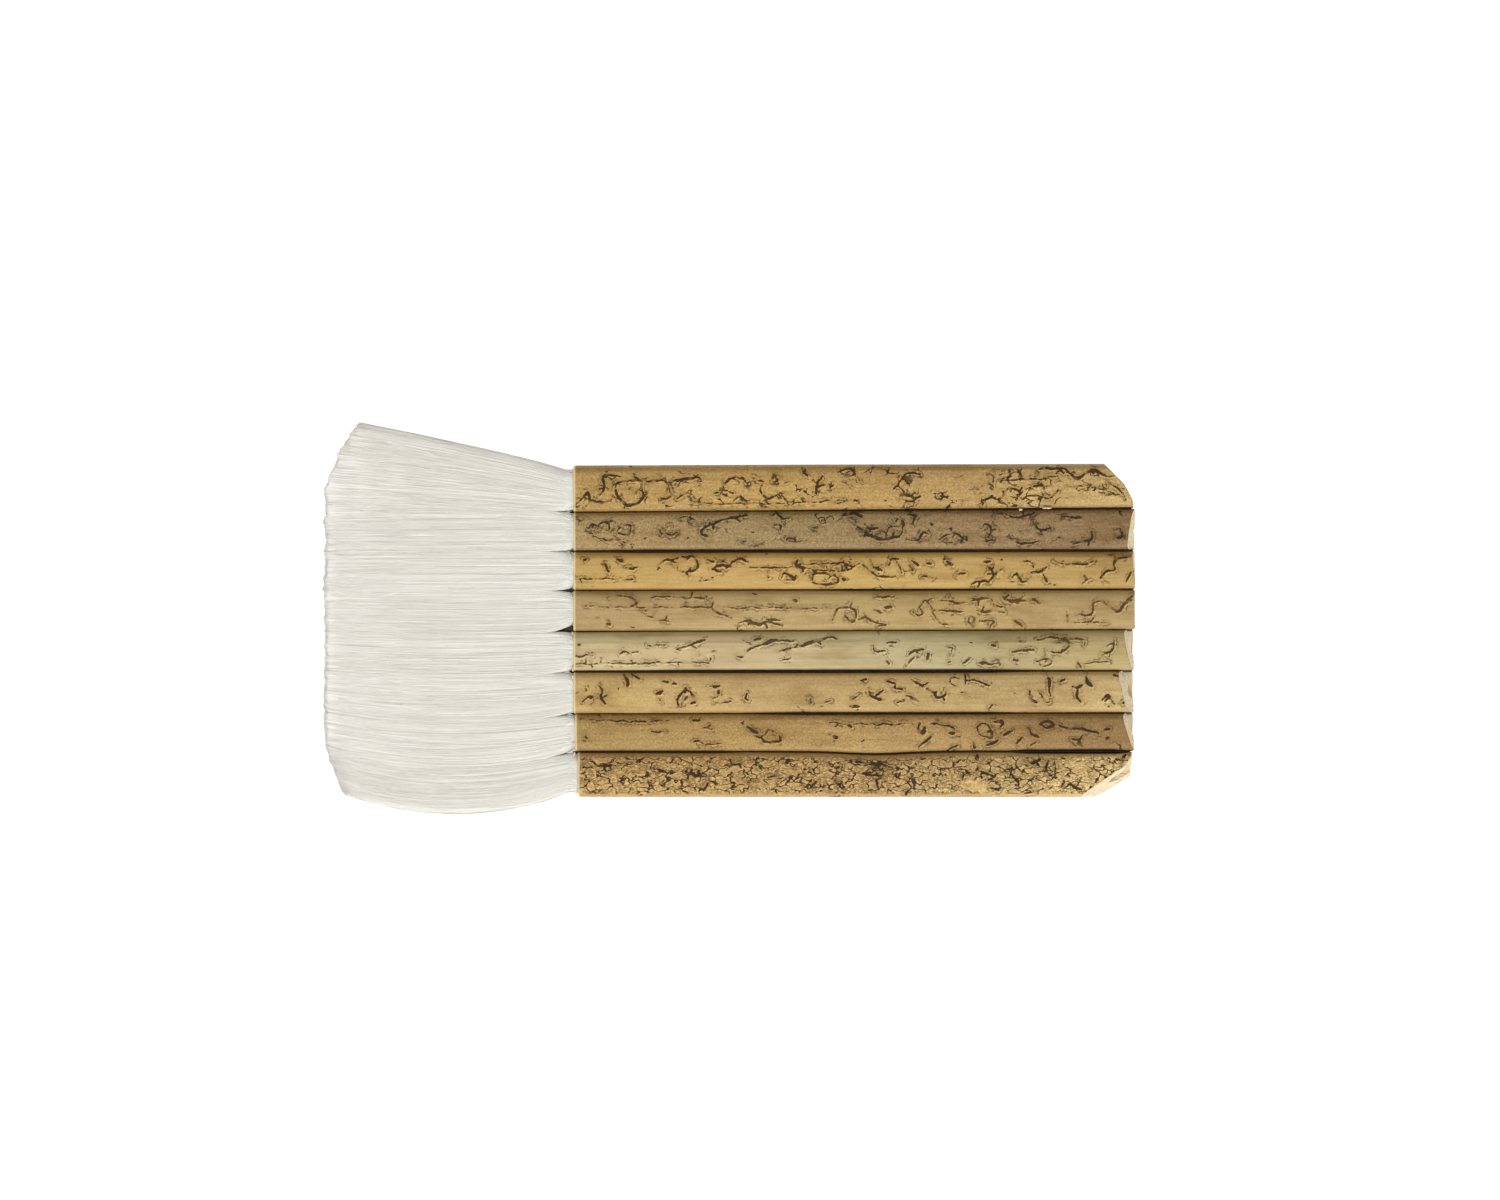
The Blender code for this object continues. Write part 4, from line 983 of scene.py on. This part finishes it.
def dress(node, material):
    """Give a part that is shown just as it was built its material."""
    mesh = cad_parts[node].data
    mesh.materials.clear()
    mesh.materials.append(material)


skewer_bamboo = split_bamboo()
for node in ("cross_pin_front", "cross_pin_rear"):
    dress(node, skewer_bamboo)


# Bound roots
# Each tuft's root is bound with silk thread and set into its stem's drilled socket with melted
# rosin. A plug of the same rosin fills the socket's floor behind it.
def bound_root():
    """Hair glued stiff: yellowed, with grain along its length."""
    material, tree, shader = new_material("glued_hair_root")
    place = add_node(tree, "TexCoord").outputs["Object"]
    hairs = noise(tree, stretched(tree, place, 40.0, 1000.0, 1000.0), 4.0, 3.0, 0.6)
    tree.links.new(mix_colour(tree, hairs, linear(196, 180, 140), linear(238, 230, 206)), shader.inputs["Base Color"])
    shader.inputs["Roughness"].default_value = 0.5
    roughen(tree, shader, hairs, 0.6, 0.1)
    return material


def silk_thread():
    """Close turns of white silk thread, with painted shade in the grooves between the turns."""
    material, tree, shader = new_material("silk_thread")
    place = add_node(tree, "TexCoord").outputs["Object"]
    turns = add_node(tree, "TexWave", {"Vector": place, "Scale": 900.0, "Distortion": 0.3}, bands_direction="X")
    turns = turns.outputs["Fac"]
    # Painted shade: darker in the grooves between the turns
    tree.links.new(mix_colour(tree, turns, linear(150, 138, 116), linear(238, 232, 216)), shader.inputs["Base Color"])
    shader.inputs["Roughness"].default_value = 0.4
    roughen(tree, shader, turns, 1.0, 0.15)
    return material


def set_rosin():
    """Set rosin: deep amber with clouds in it, glossy."""
    material, tree, shader = new_material("set_rosin")
    cloud = noise(tree, add_node(tree, "TexCoord").outputs["Object"], 700.0, 3.0, 0.6)
    tree.links.new(mix_colour(tree, cloud, linear(98, 54, 18), linear(168, 108, 44)), shader.inputs["Base Color"])
    tree.links.new(calculate(tree, "MULTIPLY_ADD", cloud, 0.3, 0.15), shader.inputs["Roughness"])
    return material


glued_root, thread, rosin = bound_root(), silk_thread(), set_rosin()
for index in range(STEM_COUNT):
    for node, material in (("root_", glued_root), ("binding_", thread), ("plug_", rosin)):
        dress(node + str(index + 1), material)


# Hair
# White goat hair, dressed into one flat fanned head. Each stem holds its own tuft, so the tufts
# stay apart for the first few millimetres and close up into one sheet towards the even-cut tip.
MOUTH_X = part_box("stem_1")[0].x
TIP_X = cad_low.x
HINGE_X = MOUTH_X - 3.8 * MM
HEAD_HALF_WIDTH = (cad_high.y - cad_low.y) / 2.0
HEAD_TOP_AT_MOUTH = 29.7 * MM
HEAD_BOTTOM_AT_MOUTH = -35.8 * MM
TOP_CORNER_STATION = 0.874
BULGE_STATION = 0.47
TIP_STRAIGHT_HALF = 24.0 * MM
TIP_CORNER_SETBACKS = (6.5 * MM, 8.0 * MM)
TIP_CORNER_POWER = 1.6
HAIR_IN_SOCKET = 1.6 * MM
TUFT_STATIONS = [0.0, 0.08, 0.2, 0.36, 0.52, 0.68, 0.84, 0.96, 1.0]
TUFT_HALF_THICKNESS = [3.5, 3.7, 3.8, 3.75, 3.6, 3.1, 2.3, 1.5, 1.15]
FANNED_TOP_SHARE = 0.17
FAN_POWER_BOTTOM = 3.0
FACE_SHARE = 0.38
LOCK_HEIGHT = 0.06 * MM
# How far the tuft below and the tuft above draw back from each seam at the mouth, and how far out
TUFT_GAPS = [(.1, .1, 6), (.12, .1, 6), (.3, .3, 4.5), (.1, 1.3, 4.5), (.15, .15, 5), (.15, .1, 5), (.2, .2, 5)]
STRANDS_PER_TUFT = 1500
STRAND_STEPS = 14
STRAND_RADIUS = 0.07 * MM
CORE_RINGS = 90
CORE_AROUND = 100
CORE_DEPTH = 0.975
# The core's end is a face of cut hairs, made of these smaller and smaller rings
END_DEPTHS = [0.88, 0.74, 0.6, 0.46, 0.32, 0.18, 0.05]
middle_height = (cad_low.z + cad_high.z) / 2.0


def mouth_seams():
    """Y of the lines between the tufts at the mouth, from stem 1's outer side to stem 8's."""
    sides = [stem_ends("stem_" + str(i + 1), i)[2] for i in range(STEM_COUNT)]
    seams = [HEAD_TOP_AT_MOUTH]
    seams += [(above[0] + below[1]) / 2.0 for above, below in zip(sides, sides[1:])]
    return seams + [HEAD_BOTTOM_AT_MOUTH]


def head_sides(station):
    """Y of the fanned head's two edges: straight on +Y, bulging on -Y."""
    top = HEAD_TOP_AT_MOUTH + (HEAD_HALF_WIDTH - HEAD_TOP_AT_MOUTH) * (station / TOP_CORNER_STATION) ** 0.85
    bulge = 1.0 - ((station - BULGE_STATION) / BULGE_STATION) ** 2
    bottom = HEAD_BOTTOM_AT_MOUTH - (HEAD_HALF_WIDTH + HEAD_BOTTOM_AT_MOUTH) * bulge
    return top, bottom


def cut_tip(y):
    """X of the cut tip: straight across the middle, eased back at both corners."""
    share = np.maximum(np.abs(y) - TIP_STRAIGHT_HALF, 0.0) / (HEAD_HALF_WIDTH - TIP_STRAIGHT_HALF)
    return TIP_X + np.where(y > 0.0, *TIP_CORNER_SETBACKS) * share ** TIP_CORNER_POWER


def cut_share(x):
    """How far along the free hair a place is, 0 at the mouth and 1 at the tip."""
    return (MOUTH_X - x) / (MOUTH_X - TIP_X)


def round_the_tuft(turn):
    """Sideways and upward place on a unit square for a turn from 0 to 1, mostly on its faces."""
    corners = [0.0, FACE_SHARE, 0.5, 0.5 + FACE_SHARE, 1.0]
    turn = np.mod(turn, 1.0)
    across = np.interp(turn, corners, [-1.0, 1.0, 1.0, -1.0, -1.0])
    upward = np.interp(turn, corners, [1.0, 1.0, -1.0, -1.0, 1.0])
    return across, upward


def hair_point(index, seams, x, turn, depth):
    """Y, Z and lock height of a hair at x. turn goes round its tuft, depth is 1 at the surface."""
    mouth_x, _, mouth, _, planed = stem_ends("stem_" + str(index + 1), index)
    out = mouth_x - x
    spread = smooth(-0.6 * MM, 1.0 * MM, out)
    closed = smooth(0.0, 9.0 * MM, out)
    across, upward = round_the_tuft(turn)
    fullness = 3.4 + 26.0 * closed
    if index in (0, STEM_COUNT - 1):
        outside = across if index == 0 else -across
        fullness = np.where(outside > 0.0, 3.4 + 1.6 * closed, fullness)
    norm = (np.abs(across) ** fullness + np.abs(upward) ** fullness) ** (1.0 / fullness)
    across, upward = across / norm * depth, upward / norm * depth

    width = seams[0] - seams[-1]
    middle = (seams[0] - (seams[index] + seams[index + 1]) / 2.0) / width
    half = (seams[index] - seams[index + 1]) / 2.0 / width
    share = np.clip(middle - across * half * (1.0 + 0.05 * closed), 0.0, 1.0)
    station = np.clip((HINGE_X - x) / (HINGE_X - TIP_X), 0.0, 1.0)
    top, bottom = head_sides(np.clip(cut_share(x), 0.0, 1.0))
    fanned = seams[0] - width * share
    fanned = fanned + (top - HEAD_TOP_AT_MOUTH) * (1.0 - smooth(0.0, FANNED_TOP_SHARE, share))
    fanned = fanned + (bottom - HEAD_BOTTOM_AT_MOUTH) * share ** FAN_POWER_BOTTOM
    hole = (mouth[1] - mouth[0]) / 2.0 - SOCKET_WALL
    straight = (mouth[0] + mouth[1]) / 2.0 + across * hole
    y = straight + (fanned - straight) * spread
    if index > 0:
        gap, reach = TUFT_GAPS[index - 1][0], TUFT_GAPS[index - 1][2]
        y = y - gap * MM * np.clip(1.0 - out / (reach * MM), 0.0, 1.0) * np.maximum(across, 0.0) ** 2
    if index < STEM_COUNT - 1:
        gap, reach = TUFT_GAPS[index][1], TUFT_GAPS[index][2]
        y = y + gap * MM * np.clip(1.0 - out / (reach * MM), 0.0, 1.0) * np.maximum(-across, 0.0) ** 2

    thickness = np.interp(station, TUFT_STATIONS, TUFT_HALF_THICKNESS) * MM
    hole_height = min(hole, planed[0] - middle_height - SOCKET_WALL)
    thickness = hole_height + (thickness - hole_height) * spread
    lanes = width * share / MM
    spots = np.stack([x / MM * 0.02, lanes * 0.35, np.sign(upward) * 7.0 + 0.0 * x], axis=-1)
    spots = spots.reshape(-1, 3)
    locks = 0.45 * lattice_noise(spots, 301) + 0.3 * lattice_noise(spots * (1.6, 3.3, 1.0), 302)
    locks = locks + 0.25 * lattice_noise(spots * (2.2, 8.0, 1.0), 303)
    locks = locks.reshape(np.shape(x))
    z = middle_height + (thickness + LOCK_HEIGHT * locks * spread) * upward
    return y, z, locks


def ragged_tip(y):
    """How far the hair stops short of the cut line, in small uneven scallops."""
    edge = np.reshape(y, -1)[:, None] / MM * (1.0, 0.0, 0.0)
    waves = 0.3 * lattice_noise(edge * 0.35, 77) + 0.45 * lattice_noise(edge * 1.0, 78) + 0.75
    return np.reshape(waves * 0.5 * MM, np.shape(y))


def hair_core(index, seams):
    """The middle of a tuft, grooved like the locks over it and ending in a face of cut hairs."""
    mouth_x = stem_ends("stem_" + str(index + 1), index)[0]
    rings = CORE_RINGS + len(END_DEPTHS)
    turn = np.tile((np.arange(CORE_AROUND) + 0.5) / CORE_AROUND, (rings, 1))
    share = np.concatenate([np.linspace(0.0, 1.0, CORE_RINGS), np.ones(len(END_DEPTHS))])[:, None]
    depth = np.concatenate([np.full(CORE_RINGS, CORE_DEPTH), END_DEPTHS])[:, None]
    inside = depth < CORE_DEPTH
    start = mouth_x + HAIR_IN_SOCKET
    x = start + (TIP_X - start) * share + 0.0 * turn
    y, z, _ = hair_point(index, seams, x, turn, depth)
    spots = np.stack([0.0 * y, y, np.where(inside, 1.3 * z, turn * CORE_AROUND * MM)], axis=2)
    cut = lattice_noise(spots.reshape(-1, 3) / MM * 2.0, 79).reshape(y.shape)
    reach = (0.5 + np.where(inside, 0.55, 0.3) * cut) * MM
    x = start + (cut_tip(y) + reach + ragged_tip(y) - start) * share
    y, z, locks = hair_point(index, seams, x, turn, depth)
    points = np.stack([x, y, z], axis=2)
    grid = np.arange(rings * CORE_AROUND).reshape(rings, CORE_AROUND)
    near, far = grid[:-1], grid[1:]
    faces = np.stack([near, far, np.roll(far, -1, axis=1), np.roll(near, -1, axis=1)], axis=2)
    faces = faces.reshape(-1, 4).tolist() + [grid[0].tolist(), grid[-1][::-1].tolist()]
    # The tone is painted lighter towards the tip to lift the shade among the thinning ends, and the end rings are
    # painted darker where the cut ends sit further back, as painted shade
    tone = 0.4 + 0.3 * locks + 0.35 * smooth(0.5, 1.0, cut_share(x)) - np.where(inside, 0.6 * cut + 0.3, 0.0)
    return points.reshape(-1, 3), faces, tone.reshape(-1)


def hair_strands(index, seams, seed):
    """Single tapering hairs over the core, all closed, ragged at the tip, a few of them astray."""
    random = np.random.default_rng(seed)
    count = STRANDS_PER_TUFT
    mouth_x = stem_ends("stem_" + str(index + 1), index)[0]
    share = np.linspace(0.0, 1.0, STRAND_STEPS)[None, :] ** 1.5
    turn = random.random((count, 1))
    astray = random.random((count, 1)) < 0.04
    wander = random.normal(0.0, 0.006, (count, 1)) * np.where(astray, 4.0, 1.0) * share ** 1.5
    sway = random.uniform(0.0, 2.0 * math.pi, (count, 1))
    turn = turn + wander + 0.0015 * np.sin(sway + 5.0 * share)
    surface = 1.0 - 0.025 * random.random((count, 1))
    inner = np.where(random.random((count, 1)) < 0.4, random.random((count, 1)) ** 0.7, surface)
    depth = surface + (inner - surface) * share ** 12
    start = mouth_x + HAIR_IN_SOCKET * random.random((count, 1))
    later = random.random((count, 1)) < 0.5
    start = start + (TIP_X - start) * np.where(later, random.random((count, 1)) * 0.8, 0.0)
    x = start + (TIP_X - start) * share
    y = hair_point(index, seams, x, turn, depth)[0]
    reach = random.gamma(1.3, 0.2, (count, 1)) * MM + ragged_tip(y[:, -1:])
    reach = np.where(random.random((count, 1)) < 0.012, -1.2 * MM * random.random((count, 1)), reach)
    x = start + (cut_tip(y[:, -1:]) + reach - start) * share
    y, z, locks = hair_point(index, seams, x, turn, depth)
    z = z + np.where(astray, 0.12 * MM * np.sin(3.0 * share + sway) * share, 0.0)
    path = np.stack([x, y, z], axis=2)
    radius = STRAND_RADIUS * (1.0 - 0.5 * share) * random.uniform(0.7, 1.2, (count, 1))
    radius[:, -1] *= 0.35
    turns = 2.0 * math.pi * np.arange(3) / 3.0
    spin = random.uniform(0.0, 2.0 * math.pi, (count, 1, 1))
    ring = np.stack([np.zeros((count, 1, 3)), np.cos(turns + spin), np.sin(turns + spin)], axis=3)
    points = path[:, :, None, :] + ring * radius[:, :, None, None]
    grid = np.arange(count * STRAND_STEPS * 3).reshape(count, STRAND_STEPS, 3)
    near, far = grid[:, :-1], grid[:, 1:]
    sides = np.stack([near, far, np.roll(far, -1, axis=2), np.roll(near, -1, axis=2)], axis=3)
    faces = sides.reshape(-1, 4).tolist()
    faces += grid[:, 0].tolist() + grid[:, -1, ::-1].tolist()
    # The tone is painted lighter towards the tip to lift the shade among the thinning ends
    tone = 0.4 + 0.25 * locks + random.normal(0.0, 0.12, (count, 1)) + 0.35 * smooth(0.5, 1.0, cut_share(x))
    tone = tone - 2.5 * (random.random((count, 1)) < 0.006) * smooth(0.93, 0.98, share)
    return points.reshape(-1, 3), faces, np.repeat(tone.reshape(-1), 3)


def goat_hair():
    """Off-white hair: silky along its length, a little darker and warmer in some locks, dark at a few stray tips. The
    tone also carries painted light, lighter towards the tip, and painted shade where the cut ends sit back.
    """
    material, tree, shader = new_material("goat_hair")
    tone = mesh_layer(tree, "tone")
    colour = mix_colour(tree, tone, linear(240, 237, 227), linear(254, 252, 244))
    colour = mix_colour(tree, ramp_up(tree, tone, -0.6, -1.4), colour, linear(96, 86, 72))
    tree.links.new(colour, shader.inputs["Base Color"])
    shader.inputs["Roughness"].default_value = 0.55
    shader.inputs["Specular IOR Level"].default_value = 0.3
    shader.inputs["Sheen Weight"].default_value = 0.15
    shader.inputs["Sheen Roughness"].default_value = 0.5
    return material


white_hair = goat_hair()
seams = mouth_seams()
for index in range(STEM_COUNT):
    core_points, core_faces, core_tone = hair_core(index, seams)
    points, faces, tone = hair_strands(index, seams, 900 + index)
    shift = len(core_points)
    faces = core_faces + [[corner + shift for corner in face] for face in faces]
    mesh = bpy.data.meshes.new("hair_" + str(index + 1))
    mesh.from_pydata(np.concatenate([core_points, points]), [], faces)
    mesh.shade_smooth()
    tones = mesh.attributes.new("tone", "FLOAT", "POINT")
    tones.data.foreach_set("value", np.concatenate([core_tone, tone]).astype(np.float32))
    hair = add_piece("hair_" + str(index + 1), mesh, white_hair)
    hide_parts("tuft_" + str(index + 1))
    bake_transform(hair)
